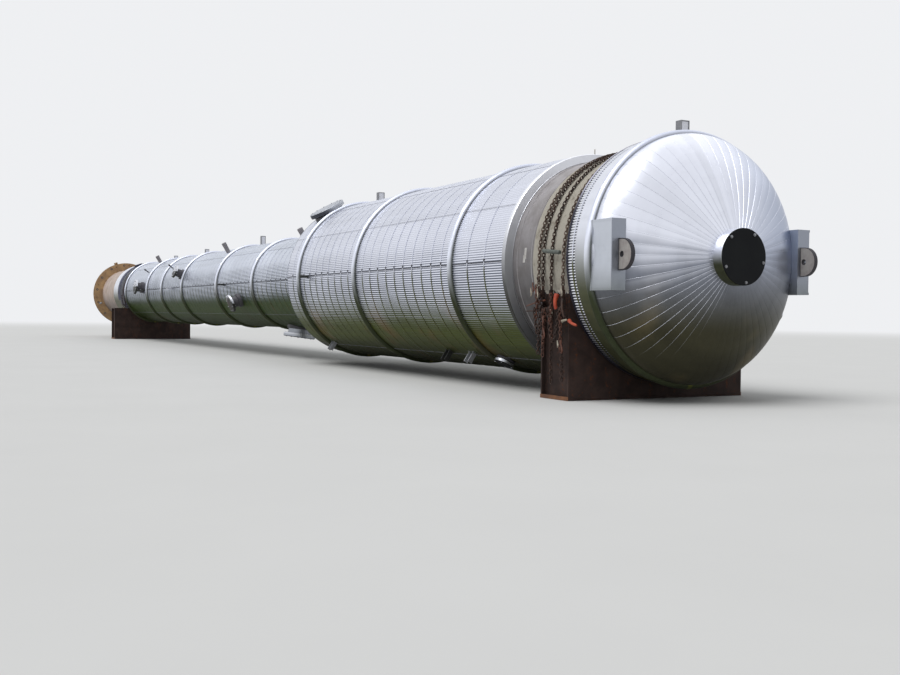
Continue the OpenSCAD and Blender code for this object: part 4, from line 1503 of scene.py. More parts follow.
@dataclass
class Fittings:
    """Nozzles, manways and stubs: their bolts, covers, sleeves and caps."""

    column: Column
    flange_thick: float = 34.0 * MM
    cover_thick: float = 40.0 * MM
    lower_jacket: float = 0.997
    upper_jacket: float = 1.430
    stub_stations: Sequence[float] = (8.474, 16.055, 21.702)
    stub_angle: float = 60.0
    stub_end: float = 1.250
    thin_stubs: Profile = ((8.159, 35.0), (11.350, 37.0))

    def build(self) -> None:
        """Builds every fitting's pieces."""
        low, high = self.lower_jacket, self.upper_jacket
        side = [
            Nozzle(8.130, 5.0, 0.140, 0.225, low, 0.243, 8),
            Nozzle(13.080, 21.0, 0.110, 0.172, low, 0.243, 8),
            Nozzle(18.500, -22.0, 0.125, 0.203, low, 0.243, 8),
        ]
        small = [
            Nozzle(30.150, -62.0, 0.090, 0.140, high, 0.070, 4),
            Nozzle(32.930, 202.0, 0.050, 0.100, high, 0.230, 4),
        ]
        upper = Nozzle(23.600, 60.0, 0.255, 0.345, high, 0.085, 12)
        lower = Nozzle(20.450, -82.0, 0.255, 0.345, low, 0.168, 12)
        self.studs("side_nozzle_bolts", side, 12 * MM, 13 * MM)
        self.studs("bottom_nozzle_bolts", small, 6 * MM, 10 * MM)
        self.studs("manway_bolts", [upper, lower], self.cover_thick, 11 * MM)
        self.sleeves("side_nozzle_sleeves", side, 0.035, 0.080)
        self.sleeves("bottom_nozzle_sleeves", small, 0.040, 0.030)
        self.sleeves("manway_sleeves", [upper, lower], 0.030, 0.040)
        self.small_covers(small)
        self.blinds(side)
        self.manway_covers([upper, lower])
        self.highlight_rims([lower, *small])
        self.caps()
        self.small_stubs()

    def blinds(self, nozzles: Sequence[Nozzle]) -> None:
        """Builds the blind covers of the side nozzles, each with a painted highlight on its upper half
        and a painted shade on its lower half.

        Args:
            nozzles: The nozzles.
        """
        shape = Shape()
        for nozzle in nozzles:
            place = nozzle.place(self.column)
            edge = nozzle.flange
            rim = [(edge + 2 * MM, -self.flange_thick), (edge + 2 * MM, 10 * MM)]
            rim += [(edge - 2 * MM, 12 * MM), (edge * 0.5, 12 * MM), (0.01, 12 * MM)]
            first = len(shape.corners)
            shape.turned(place, rim, 48)
            middle = place.translation.z
            for i in range(first, len(shape.corners)):
                rise = (shape.corners[i].z - middle) / edge
                # Painted highlight above the middle, painted shade below it.
                shape.tones[i] = 1.3 if rise > 0.05 else -2.9
        shape.build("side_nozzle_blinds", FITTING, sharp=30.0)

    def small_stubs(self) -> None:
        """Builds the two thin stubs on the near side of the lower section."""
        shape = Shape()
        for station, angle in self.thin_stubs:
            place = self.column.stand(station, self.lower_jacket - 0.01, angle)
            profile = [(0.017, 0.0), (0.017, 0.12), (0.024, 0.12), (0.024, 0.17), (0.018, 0.18)]
            shape.turned(place, profile, 20)
        shape.build("thin_stubs", DARK_STEEL, sharp=30.0)

    def studs(self, name: str, nozzles: Sequence[Nozzle], cover: float, size: float) -> None:
        """Builds the studs and nuts of some flanges.

        Args:
            name: The piece's name.
            nozzles: The nozzles.
            cover: The thickness of what is bolted on the flange.
            size: The radius of the nuts.
        """
        shape = Shape()
        for nozzle in nozzles:
            front = nozzle.place(self.column, cover)
            back = nozzle.place(self.column, -self.flange_thick)
            for i in range(nozzle.bolts):
                spot = nozzle.spot(i)
                shape.bolt(front @ spot, size, size * 0.4)
                shape.bolt(back @ spot @ Matrix.Rotation(math.pi, 4, "X"), size, size * 0.3)
        shape.build(name, FITTING, sharp=25.0)

    def sleeves(self, name: str, nozzles: Sequence[Nozzle], wall: float, height: float) -> None:
        """Builds the sheet sleeves over the insulation at the nozzles' roots.

        Args:
            name: The piece's name.
            nozzles: The nozzles.
            wall: The thickness of the insulation and sheet round the pipe.
            height: The sleeve's height over the jacket.
        """
        shape = Shape()
        for nozzle in nozzles:
            place = self.column.stand(nozzle.station, nozzle.jacket, nozzle.angle)
            outer = nozzle.pipe + wall
            sunk = outer * outer / (2 * nozzle.jacket) + 0.02
            profile = [(outer, -sunk), (outer, height * 0.8), (nozzle.pipe + 3 * MM, height)]
            shape.turned(place, [*profile, (nozzle.pipe + 1 * MM, -sunk)], 40, looped=True)
        shape.build(name, DARK_STEEL, sharp=30.0)

    def small_covers(self, nozzles: Sequence[Nozzle]) -> None:
        """Builds the black covers on the small nozzles.

        Args:
            nozzles: The nozzles.
        """
        shape = Shape()
        for nozzle in nozzles:
            radius = nozzle.flange - 3 * MM
            rim = [(radius, 0.0), (radius, 4 * MM), (radius - 2 * MM, 6 * MM)]
            shape.turned(nozzle.place(self.column), rim, 40)
        shape.build("small_nozzle_covers", COVER, sharp=30.0)

    def manway_covers(self, nozzles: Sequence[Nozzle]) -> None:
        """Builds the covers of the manways.

        Args:
            nozzles: The manways.
        """
        shape = Shape()
        thick = self.cover_thick
        for nozzle in nozzles:
            edge = nozzle.flange
            pipe = nozzle.pipe
            rim = [(edge - 2 * MM, 0.0), (edge, 2 * MM), (edge, thick - 3 * MM)]
            rim += [(edge - 3 * MM, thick), (pipe, thick), (pipe - 0.01, thick + 3 * MM)]
            shape.turned(nozzle.place(self.column), rim, 72)
        shape.build("manway_covers", MANWAY, ["manway_cover"], sharp=30.0)

    def highlight_rims(self, nozzles: Sequence[Nozzle]) -> None:
        """Builds bright strips round the flanges that look down, a painted highlight on their rims.

        Args:
            nozzles: The nozzles.
        """
        shape = Shape()
        for nozzle in nozzles:
            place = nozzle.place(self.column, -self.flange_thick)
            edge = nozzle.flange
            profile = [(edge - 2 * MM, 0.0), (edge + 2 * MM, 0.0)]
            profile += [(edge + 2 * MM, self.flange_thick), (edge - 2 * MM, self.flange_thick)]
            # Bright strips: painted highlight round each flange.
            shape.turned(place, profile, 72, looped=True)
        shape.build("flange_highlight_strips", PLAIN, sharp=30.0)

    def caps(self) -> None:
        """Builds the dark caps on the slanted stubs."""
        shape = Shape()
        for station in self.stub_stations:
            place = self.column.stand(station, self.stub_end, self.stub_angle)
            shape.turned(
                place, [(0.059, -0.075), (0.059, 4 * MM), (0.052, 9 * MM), (0.010, 10 * MM)], 32
            )
        shape.build("stub_caps", STUB_STEEL, sharp=30.0)


@dataclass
class Clips:
    """The clips for ladders and platforms: bridges on top, bars at the sides, plates below."""

    column: Column
    lower_jacket: float = 0.997
    upper_jacket: float = 1.430
    upper_width: float = 0.122
    lower_width: float = 0.106
    upper_bridges: Profile = ((32.950, 0.186), (24.385, 0.178))
    lower_bridges: Profile = ((8.336, 0.130), (12.100, 0.155), (17.315, 0.222))
    # The last number of each bar and pair is its tone: low values paint shade on clips that stand in
    # shade, high values paint light on lit ones.
    bars: Sequence[tuple[float, bool, float]] = (
        (24.370, True, -2.4), (17.400, False, -2.4), (12.100, False, 1.0), (8.336, False, -2.4),
    )
    pairs: Profile = ((24.090, 1.0), (28.700, -2.9), (29.415, 1.6))
    pair_angle: float = -57.0
    sheet: float = 12.0 * MM
    length: float = 100.0 * MM

    def build(self) -> None:
        """Builds every clip in place of the frame's node."""
        shape = Shape()
        for station, height in self.upper_bridges:
            self.bridge(shape, station, self.upper_jacket, height, self.upper_width)
        for station, height in self.lower_bridges:
            self.bridge(shape, station, self.lower_jacket, height, self.lower_width)
        for station, upper, tone in self.bars:
            jacket = self.upper_jacket if upper else self.lower_jacket
            for side in Side:
                place = self.column.stand(station, jacket, side.value)
                half = 0.030 if station > 10.0 else 0.015
                shape.plate(place, (-half, -0.025, -0.02), (half, 0.025, 0.150), tone)
                top = place @ Matrix.Translation((0.0, 0.025, 0.11))
                shape.bolt(top @ Matrix.Rotation(-math.pi / 2, 4, "X"), 12 * MM)
        for station, tone in self.pairs:
            place = self.column.stand(station, self.upper_jacket, self.pair_angle)
            for side in (-1, 1):
                x = side * 0.055
                low = (x - self.sheet / 2, -0.035, -0.012)
                shape.plate(place, low, (x + self.sheet / 2, 0.035, 0.160), tone)
                low = (x - 2 * self.sheet, -0.045, -0.012)
                shape.plate(place, low, (x + 2 * self.sheet, 0.045, 4 * MM), tone)
        shape.build("platform_clip_plates", FITTING, ["platform_clips"], bevel=1 * MM)

    def bridge(
        self, shape: Shape, station: float, jacket: float, height: float, width: float
    ) -> None:
        """Adds a bridge clip: a dark frame round a paler plate, on its foot plate.

        Args:
            shape: The shape to add it to.
            station: The clip's station.
            jacket: The jacket's radius there.
            height: The clip's height.
            width: The clip's width.
        """
        place = self.column.stand(station, jacket, 90.0)
        half, t = width / 2, self.sheet
        x = self.length / 2
        for y in (-half, half - t):
            shape.plate(place, (-x, y, -t), (x, y + t, height), -0.9)
        shape.plate(place, (-x, -half + t, height - t), (x, half - t, height), -0.9)
        shape.plate(place, (-x - t, -half - t, -t), (x + t, half + t, 3 * MM), -0.4)
        shape.plate(place, (6 * MM - x, -half + t, -t), (x - 6 * MM, half - t, height - t), 0.8)


@dataclass
class Skirt:
    """The skirt's small parts: welds, painted shade in the anchor holes, tail lug, earthing boss and old
    tape.
    """

    column: Column
    ring_radius: float = 1.184
    tail_angle: float = 72.0
    boss_angle: float = -21.0
    anchor_circle: float = 1.097
    anchor_radius: float = 23.0 * MM
    anchors: int = 14
    first_anchor: float = -95.0
    boss_radius: float = 1.000
    skirt_weld_stations: Sequence[float] = (0.050, 0.312, 1.150, 2.300)
    gap_weld_stations: Sequence[float] = (4.410, 5.110)
    shell_weld_steps: Sequence[float] = (0.100, 0.425)
    tape_station: float = 31.665
    tape_angle: float = 4.4
    lug_inside: float = 20.0 * MM
    lug_outside: float = 45.0 * MM

    def build(self) -> None:
        """Builds the skirt's pieces and those of the bare shell."""
        self.welds()
        self.tail_lug()
        self.boss()
        self.anchor_marks()
        self.old_tape()

    def anchor_marks(self) -> None:
        """Builds thin dark washers and sleeves in the anchor holes, a painted shade that darkens the
        holes.
        """
        inner = self.anchor_radius - 4 * MM
        sleeve = self.anchor_radius + 0.5 * MM
        washer = self.anchor_radius + 20 * MM
        shape = Shape()
        for node in ("base_ring", "chair_ring"):
            first, last = self.column.reach(node)
            seat, face = last - first - 0.5 * MM, last - first + 3 * MM
            rim = [(inner, 1 * MM), (sleeve, 1 * MM), (sleeve, seat)]
            rim += [(washer, seat), (washer, face), (inner, face)]
            for i in range(self.anchors):
                angle = self.first_anchor + i * FULL_TURN / self.anchors
                place = self.column.stand(first, self.anchor_circle, angle)
                place = place @ QUARTER_Y
                # Dark sleeve and washer: painted shade in each anchor hole.
                shape.turned(place, rim, 20, looped=True)
        shape.build("anchor_hole_shade", DARK_STEEL, sharp=30.0)

    def old_tape(self) -> None:
        """Builds the pale patch of old tape on the bare upper shell."""
        radius = self.column.radius("upper_shell")
        place = self.column.stand(self.tape_station, radius, self.tape_angle)
        shape = Shape()
        shape.plate(place, (-0.022, -0.075, -2 * MM), (0.022, 0.060, 1.5 * MM))
        shape.plate(place, (-0.045, -0.120, -2 * MM), (0.004, -0.030, 1.0 * MM))
        shape.build("pale_patch", PALE_TAPE, bevel=0.5 * MM)

    def welds(self) -> None:
        """Builds the weld beads of the skirt, the chairs and the bare shell."""
        skirt = Shape()
        radius = self.column.radius("lower_shell")
        for station in self.skirt_weld_stations:
            Band(self.column, station, radius, 14 * MM, 3 * MM).flat(skirt)
        skirt.build("skirt_welds", BASE)
        shell = Shape()
        start = self.column.reach("end_flashing")[1]
        upper = self.column.radius("upper_shell")
        for step in self.shell_weld_steps:
            Band(self.column, start + step, upper, 22 * MM, 3.5 * MM).flat(shell)
        for station in self.gap_weld_stations:
            Band(self.column, station, radius, 20 * MM, 3 * MM).flat(shell)
        shell.build("shell_welds", WELD)

    def tail_lug(self) -> None:
        """Builds the tail lug between the base ring and the chair ring."""
        first = self.column.reach("base_ring")[1]
        last = self.column.reach("chair_ring")[0]
        low = self.column.radius("lower_shell") - 1 * MM
        place = self.column.stand(first, 0.0, self.tail_angle)
        end = self.ring_radius + 0.075
        length = last - first
        shape = Shape()
        inside, outside = self.lug_inside, self.lug_outside
        shape.plate(place, (0.0, -outside, low), (length, -inside, end), 0.4)
        shape.plate(place, (0.0, inside, low), (length, outside, end), 0.4)
        middle = place @ Matrix.Translation((length / 2, 0.0, end - 0.05))
        pin = middle @ QUARTER_X
        pin_end = outside + 15 * MM
        shape.turned(pin, [(25 * MM, -pin_end), (25 * MM, pin_end)], 20)
        shape.build("tail_lug", BASE, bevel=2 * MM)

    def boss(self) -> None:
        """Builds the bright earthing boss on the chair ring."""
        face = self.column.reach("chair_ring")[1]
        place = self.column.stand(face, self.boss_radius, self.boss_angle)
        thick = 12 * MM
        shape = Shape()
        shape.plate(place, (0.0, -30 * MM, -20 * MM), (thick, 30 * MM, 90 * MM))
        side = Matrix.Translation((thick, 0.0, 30 * MM)) @ QUARTER_Y
        shape.bolt(place @ side, 16 * MM, 15 * MM)
        shape.build("earthing_boss", PLAIN, bevel=1 * MM)


@dataclass
class Belt:
    """A belt of old conveyor sheet over the shell, with a liner in the saddle below it."""

    column: Column
    node: str
    finish: Finish
    first: float
    last: float
    ragged: float = 2.6
    columns: int = 26
    flaps: Sequence[tuple[float, float, float]] = ()
    lap: float = 0.0
    loose_turn: float = 9.0
    thick: float = 15.0 * MM

    def build(self) -> None:
        """Builds the belt and the liner."""
        self.belt()
        start, end = self.column.reach(self.node)
        outer = self.column.radius(self.node)
        rings = []
        for i in range(37):
            angle = self.last + (self.first + FULL_TURN - self.last) * i / 36
            section = [(start, outer), (end, outer), (end, outer - self.thick)]
            section.append((start, outer - self.thick))
            rings.append([self.column.point(s, r, angle) for s, r in section])
        # The liner's dark belting paints the shade in the saddle's seat.
        liner = Shape()
        liner.loft(rings, capped=True)
        liner.build(f"{self.node}_liner", DARK_BELT, sharp=30.0)

    def belt(self, step: float = 2.0) -> None:
        """Builds the belt with its wavy edges and ragged ends.

        Args:
            step: The angle between two rows, in degrees.
        """
        chance = random.Random(self.node)
        rag = [chance.uniform(-1.0, 1.0) for _ in range(self.columns + 1)]
        for first, last, drop in self.flaps:
            for j in range(self.columns + 1):
                if first < j / self.columns < last:
                    rag[j] = drop + 0.2 * rag[j]
        start, end = self.column.reach(self.node)
        start -= self.lap
        outer = self.column.radius(self.node)
        rows = round((self.last - self.first) / step)
        rings = []
        for i in range(rows + 1):
            angle = self.first + (self.last - self.first) * i / rows
            loose = max(0.0, 1.0 - min(i, rows - i) * step / self.loose_turn)
            outward = 1.0 if i > rows / 2 else -1.0
            ring = []
            for j in range(self.columns + 1):
                share = j / self.columns
                wave = noise.noise(Vector((share * 5.0, angle * 0.06, start)))
                edge = noise.noise(Vector((7.0 + round(share), angle * 0.09, start)))
                weight = abs(2 * share - 1) ** 6
                station = start + (end - start) * share + edge * weight * 9 * MM
                turn = angle + outward * loose * self.ragged * (rag[j] + 0.6 * wave)
                radius = outer - 1 * MM - abs(wave) * 7 * MM + loose * (wave + 0.4) * 9 * MM
                ring.append(self.column.point(station, radius, turn))
            floor = outer - self.thick + 0.5 * MM
            ring.append(self.column.point(end, floor, angle))
            ring.append(self.column.point(start, floor, angle))
            rings.append(ring)
        shape = Shape()
        shape.loft(rings, capped=True)
        shape.build(f"{self.node}_belt", self.finish, [self.node], sharp=50.0)


@dataclass
class ChainRun:
    """A chain of oval links along a route."""

    bar: float = 6.5 * MM
    pitch: float = 39.0 * MM
    width: float = 45.0 * MM
    around: int = 12
    sides: int = 6

    def link(self, shape: Shape, middle: Vector, along: Vector, across: Vector) -> None:
        """Adds one link.

        Args:
            shape: The shape to add it to.
            middle: Its middle.
            along: The chain's direction there.
            across: The direction of its width.
        """
        half_long = self.pitch / 2 + self.bar
        half_wide = self.width / 2 - self.bar
        path = []
        for i in range(self.around):
            turn = math.tau * (i + 0.5) / self.around
            reach = math.copysign(abs(math.cos(turn)) ** 0.8, math.cos(turn))
            spread = math.copysign(abs(math.sin(turn)) ** 0.8, math.sin(turn))
            path.append(middle + along * (half_long * reach) + across * (half_wide * spread))
        shape.tube(path, self.bar, self.sides, closed=True)

    def follow(self, shape: Shape, route: Route, tilt: float = 40.0) -> None:
        """Adds links from one end of a route to the other.

        Args:
            shape: The shape to add them to.
            route: The route.
            tilt: The turn of every other link against the column's length, in degrees.
        """
        length = Vector((1.0, 0.0, 0.0))
        for i in range(int(route.length / self.pitch)):
            at = (i + 0.5) * self.pitch
            ahead = (route.at(at + 0.01) - route.at(at - 0.01)).normalized()
            side = length - ahead * length.dot(ahead)
            side = side.normalized() if side.length > 0.05 else ahead.orthogonal()
            other = ahead.cross(side)
            turn = math.radians(tilt) + (math.pi / 2 if i % 2 else 0.0)
            across = side * math.cos(turn) + other * math.sin(turn)
            self.link(shape, route.at(at), ahead, across)


@dataclass(frozen=True)
class Lever:
    """A binder's handle: where it starts and ends, in stations and heights, and its finish."""

    station: float
    height: float
    to_station: float
    to_height: float
    finish: Finish
    wide: float = 12.0 * MM


@dataclass
class TieDown:
    """The chains over one saddle with the binders that tighten them on the near side."""

    column: Column
    name: str
    padding: str
    stations: Sequence[float]
    anchor_height: float
    binder_length: float = 300.0 * MM
    stand_off: float = 20.0 * MM

    @property
    def out(self) -> float:
        """How far the chains hang from the column's axis."""
        return self.column.radius(self.padding) + self.stand_off

    def spot(self, station: float, out: float, height: float) -> Vector:
        """A point on the near side, by its distance from the axis and its height."""
        return Vector((self.column.foot_x + station, -out, height))

    def build(self) -> None:
        """Builds the chains."""
        inner, outer = Shape(), Shape()
        for i, station in enumerate(self.stations):
            outermost = i in (0, len(self.stations) - 1)
            ChainRun().follow(outer if outermost else inner, self.over(station))
        outer.build(f"{self.name}_links", DUSTY_CHAIN, [self.name], sharp=60.0)
        if inner.corners:
            inner.build(f"{self.name}_inner_links", CHAIN, sharp=60.0)

    def over(self, station: float) -> Route:
        """The route of a chain, from the top of its binder over the column to its far end.

        Args:
            station: The chain's station.

        Returns:
            The route.
        """
        points = [self.spot(station, self.out, self.anchor_height + self.binder_length - 0.02)]
        points += [self.column.point(station, self.out, angle) for angle in range(0, 181, 3)]
        end = points[-1].copy()
        end.z = self.anchor_height
        return Route([*points, end])

    def binders(self, shape: Shape) -> None:
        """Adds the yoke, barrel and hooks of every binder.

        Args:
            shape: The shape to add them to.
        """
        for station in self.stations:
            foot = self.spot(station, self.out, self.anchor_height)
            place = Matrix.Translation(foot)
            self.hook(shape, place, 0.075, -1.0)
            for height in (0.095, 0.262):
                turned = Matrix.Translation((0.0, 0.0, height)) @ Matrix.Rotation(math.pi / 2, 4, "Z")
                shape.hoop(place @ turned, 19 * MM, 6 * MM, 12, 6)
            for x in (-0.017, 0.009):
                shape.plate(place, (x, -0.022, 0.105), (x + 8 * MM, 0.020, 0.200))
            pin = place @ Matrix.Translation((0.0, 0.0, 0.13)) @ QUARTER_Y
            shape.turned(pin, [(0.010, -0.024), (0.010, 0.024)], 12)
            shape.turned(place, [(0.013, 0.185), (0.016, 0.195), (0.016, 0.235), (0.011, 0.248)], 16)
            self.hook(shape, place, 0.290, 1.0)

    def hook(self, shape: Shape, place: Matrix, height: float, way: float) -> None:
        """Adds a grab hook.

        Args:
            shape: The shape to add it to.
            place: The binder's place.
            height: Where its shank starts.
            way: 1 for a hook that opens upward, -1 for one that curls under a bar.
        """
        path = [(0.0, 0.0), (0.0, 0.045), (-0.030, 0.075), (-0.044, 0.105)]
        path += [(-0.022, 0.126), (0.006, 0.118)]
        size = 1.0 if way < 0 else 0.55
        points = [place @ Vector((0.0, y * size, height + way * z * size)) for y, z in path]
        shape.tube(points, [9 * MM * r for r in (0.8, 1.0, 1.2, 1.1, 0.9, 0.5)])

    def levers(self, levers: Sequence[Lever], name: str) -> None:
        """Builds binder handles, one piece for each finish.

        Args:
            levers: The handles.
            name: What the pieces' names start with.
        """
        shapes: dict[Finish, Shape] = {}
        for lever in levers:
            shape = shapes.setdefault(lever.finish, Shape())
            start = self.spot(lever.station, self.out + 0.012, lever.height)
            end = self.spot(lever.to_station, self.out + 0.040, lever.to_height)
            sag = Vector((0.0, -0.02, 0.0))
            path = [start.lerp(end, i / 6) + sag * math.sin(math.pi * i / 6) for i in range(7)]
            sizes = [lever.wide * s for s in (1.5, 1.3, 1.1, 1.0, 0.95, 0.95, 0.8)]
            shape.tube(path, sizes, 10)
        for finish, shape in shapes.items():
            shape.build(f"{name}_{finish.name}", finish, sharp=50.0)


@dataclass
class FrontTieDown(TieDown):
    """The four front chains, with the handles, hooks and loose ends that hang at the saddle."""

    levers_there: Sequence[Lever] = (
        Lever(32.200, 1.150, 31.830, 1.080, RUSTY_STEEL, 7 * MM),
        Lever(32.180, 1.030, 31.830, 1.020, CHAIN, 9 * MM),
        Lever(32.440, 1.210, 32.470, 1.045, BINDER, 22 * MM),
        Lever(32.560, 1.160, 32.640, 0.950, CHAIN, 14 * MM),
        Lever(32.700, 0.915, 32.880, 0.865, BINDER, 16 * MM),
        Lever(32.550, 0.905, 32.690, 0.925, BARE_STEEL, 13 * MM),
    )
    tails: Sequence[tuple[float, float, float, float]] = (
        (32.060, 0.055, 1.330, 0.900), (32.140, 0.060, 1.300, 0.520),
        (32.230, 0.050, 1.040, 0.470), (32.290, -0.025, 1.040, 0.180),
        (32.400, 0.060, 1.220, 0.640), (32.480, -0.025, 1.040, 0.210),
        (32.560, 0.050, 1.030, 0.560),
    )
    rusty_hooks: Sequence[tuple[float, float, float]] = (
        (31.990, 1.360, 0.9), (32.050, 1.330, 0.9), (32.200, 1.050, 1.5),
        (32.230, 0.880, 1.4), (32.600, 0.700, 1.2), (32.330, 1.000, 0.8),
    )
    bare_hooks: Sequence[tuple[float, float, float]] = (
        (31.950, 1.300, 0.8), (32.090, 1.290, 0.9), (32.590, 1.310, 0.9), (32.530, 0.690, 0.6),
    )
    hook_off: float = 55.0 * MM
    tail_sway: float = 18.0 * MM
    swags: Sequence[tuple[float, float, float, float]] = (
        (32.040, 32.230, 1.060, 0.30), (32.330, 32.560, 1.040, 0.36),
    )
    swag_off: float = 65.0 * MM
    ring_spot: tuple[float, float] = (32.350, 1.000)
    pipe_ends: Profile = ((32.180, 4.0), (32.530, 2.6))
    pipe_off: float = 40.0 * MM

    def build(self) -> None:
        """Builds the chains, the binders and what hangs from them."""
        super().build()
        steel = Shape()
        self.binders(steel)
        steel.build("front_binder_steel", CHAIN, ["load_binders"], sharp=50.0)
        self.loose_hooks()
        self.levers(self.levers_there, "front_levers")
        self.loose_ends()
        self.bar()

    def loose_hooks(self) -> None:
        """Builds the hooks and the ring that hang about the binders, a piece for each finish."""
        turned = Matrix.Rotation(math.radians(70.0), 4, "Z")
        for finish, hooks in ((RUSTY_STEEL, self.rusty_hooks), (BARE_STEEL, self.bare_hooks)):
            shape = Shape()
            for station, height, size in hooks:
                foot = Matrix.Translation(self.spot(station, self.out + self.hook_off, height))
                self.hook(shape, foot @ turned @ Matrix.Scale(size, 4), 0.0, -1.0)
            if finish is BARE_STEEL:
                station, height = self.ring_spot
                ring = Matrix.Translation(self.spot(station, self.out + self.pipe_off, height))
                shape.hoop(ring, 34 * MM, 8 * MM, 16)
            shape.build(f"front_{finish.name}_pieces", finish, sharp=50.0)

    def loose_ends(self) -> None:
        """Builds the loose ends of the chains, which hang from the hook bar."""
        shapes = [Shape(), Shape()]
        run = ChainRun()
        for i, (station, off, top, bottom) in enumerate(self.tails):
            points = []
            for share in (j / 8 for j in range(9)):
                sway = self.tail_sway * math.sin(3.0 * share + i)
                height = top + (bottom - top) * share
                points.append(self.spot(station + sway, self.out + off, height))
            run.follow(shapes[1 - i % 2], Route(points), 25.0 + 20.0 * i)
        for first, last, top, sag in self.swags:
            points = []
            for share in (2 * j / 16 - 1 for j in range(17)):
                station = (first + last) / 2 + (last - first) / 2 * share
                height = top - sag * (1 - share * share)
                points.append(self.spot(station, self.out + self.swag_off, height))
            run.follow(shapes[0], Route(points), 60.0)
        shapes[0].build("front_chain_ends", CHAIN, sharp=60.0)
        shapes[1].build("front_rusty_chain_ends", RUSTY_CHAIN, sharp=60.0)

    def bar(self) -> None:
        """Builds the pipe that is pushed behind and over the chains."""
        (first, angle), (last, to_angle) = self.pipe_ends
        path = []
        for share in (i / 8 for i in range(9)):
            station = first + (last - first) * share
            turn = angle + (to_angle - angle) * share
            path.append(self.column.point(station, self.out + self.pipe_off, turn))
        shape = Shape()
        shape.tube(path, [size * MM for size in (21, 25, 25, 24, 24, 24, 25, 26, 22)], 16)
        shape.build("handle_pipe", PIPE_BAR, sharp=50.0)


@dataclass
class RearTieDown(TieDown):
    """The two rear chains with their binders, and the belt that laps over the skirt's jacket."""

    lap_width: float = 0.400
    lap_first: float = -16.0
    lap_turn: float = 212.0

    def build(self) -> None:
        """Builds the chains, the binders and their handles."""
        super().build()
        steel = Shape()
        self.binders(steel)
        steel.build("rear_binder_steel", CHAIN, sharp=50.0)
        low = self.anchor_height + 0.12
        handles = [
            Lever(at, low, at - 0.10, low + 0.34, DARK_STEEL, 26 * MM) for at in self.stations
        ]
        self.levers(handles, "rear_levers")
        self.lap_belt()

    def lap_belt(self) -> None:
        """Builds the dark belt that laps over the skirt's jacket, with its buckle."""
        end = self.column.reach("skirt_jacket")[1]
        radius = self.column.radius("skirt_jacket")
        shape = Shape()
        half = self.lap_width / 2
        belt = Band(self.column, end + 10 * MM - half, radius, self.lap_width, 9 * MM, 90)
        edge = half - 5 * MM
        section = [(-half, -1 * MM), (-edge, 8 * MM), (0.0, 9 * MM), (edge, 8 * MM), (half, -1 * MM)]
        belt.sweep(shape, section, first=self.lap_first, turn=self.lap_turn)
        place = self.column.stand(end - 0.05, radius, 70.0)
        shape.plate(place, (-0.16, -0.10, 0.0), (0.10, 0.10, 0.055), 0.2)
        shape.plate(place, (-0.05, -0.16, 0.0), (0.05, 0.16, 0.030), 0.2)
        shape.build("rear_lap_belt", DARK_BELT, bevel=2 * MM)


@dataclass
class SaddleTrim:
    """Welds and edge strips of a transport saddle."""

    column: Column
    node: str
    post_height: float
    half_wide: float = 1.295
    recess: float = 60.0 * MM
    plate: float = 25.0 * MM

    def build(self) -> None:
        """Dresses the saddle and builds its welds and edge strips."""
        dress(self.node, SADDLE)
        low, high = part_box(self.node)
        half_wide = self.half_wide
        place = Matrix.Identity(4)
        welds = Shape()
        edges = Shape()
        for side in (-1, 1):
            web = side * (half_wide - self.recess)
            for x in (low.x + self.plate, high.x - self.plate):
                path = [Vector((x, web, z)) for z in (0.03, self.post_height - 0.03)]
                welds.tube(path, 7 * MM, 6)
            path = [Vector((x, web, 0.028)) for x in (low.x + self.plate, high.x - self.plate)]
            welds.tube(path, 7 * MM, 6)
            y = side * half_wide
            near, far = sorted((y, y + side * 8 * MM))
            edges.plate(place, (low.x, near, 0.0), (high.x, far, 0.045))
        for x in (low.x, high.x):
            path = [Vector((x, y, 0.030)) for y in (-half_wide + 0.03, half_wide - 0.03)]
            welds.tube(path, 6 * MM, 6)
        welds.build(f"{self.node}_welds", SADDLE)
        edges.build(f"{self.node}_edges", RUST_EDGE, bevel=2 * MM)


def dress(node: str, finish: Finish) -> None:
    """Gives a node of the frame its finish.

    Args:
        node: The node's name.
        finish: The finish.
    """
    mesh = bpy.data.objects[node].data
    mesh.materials.clear()
    mesh.materials.append(finish.material())
    LOG.info("%s: %s", node, finish.name)


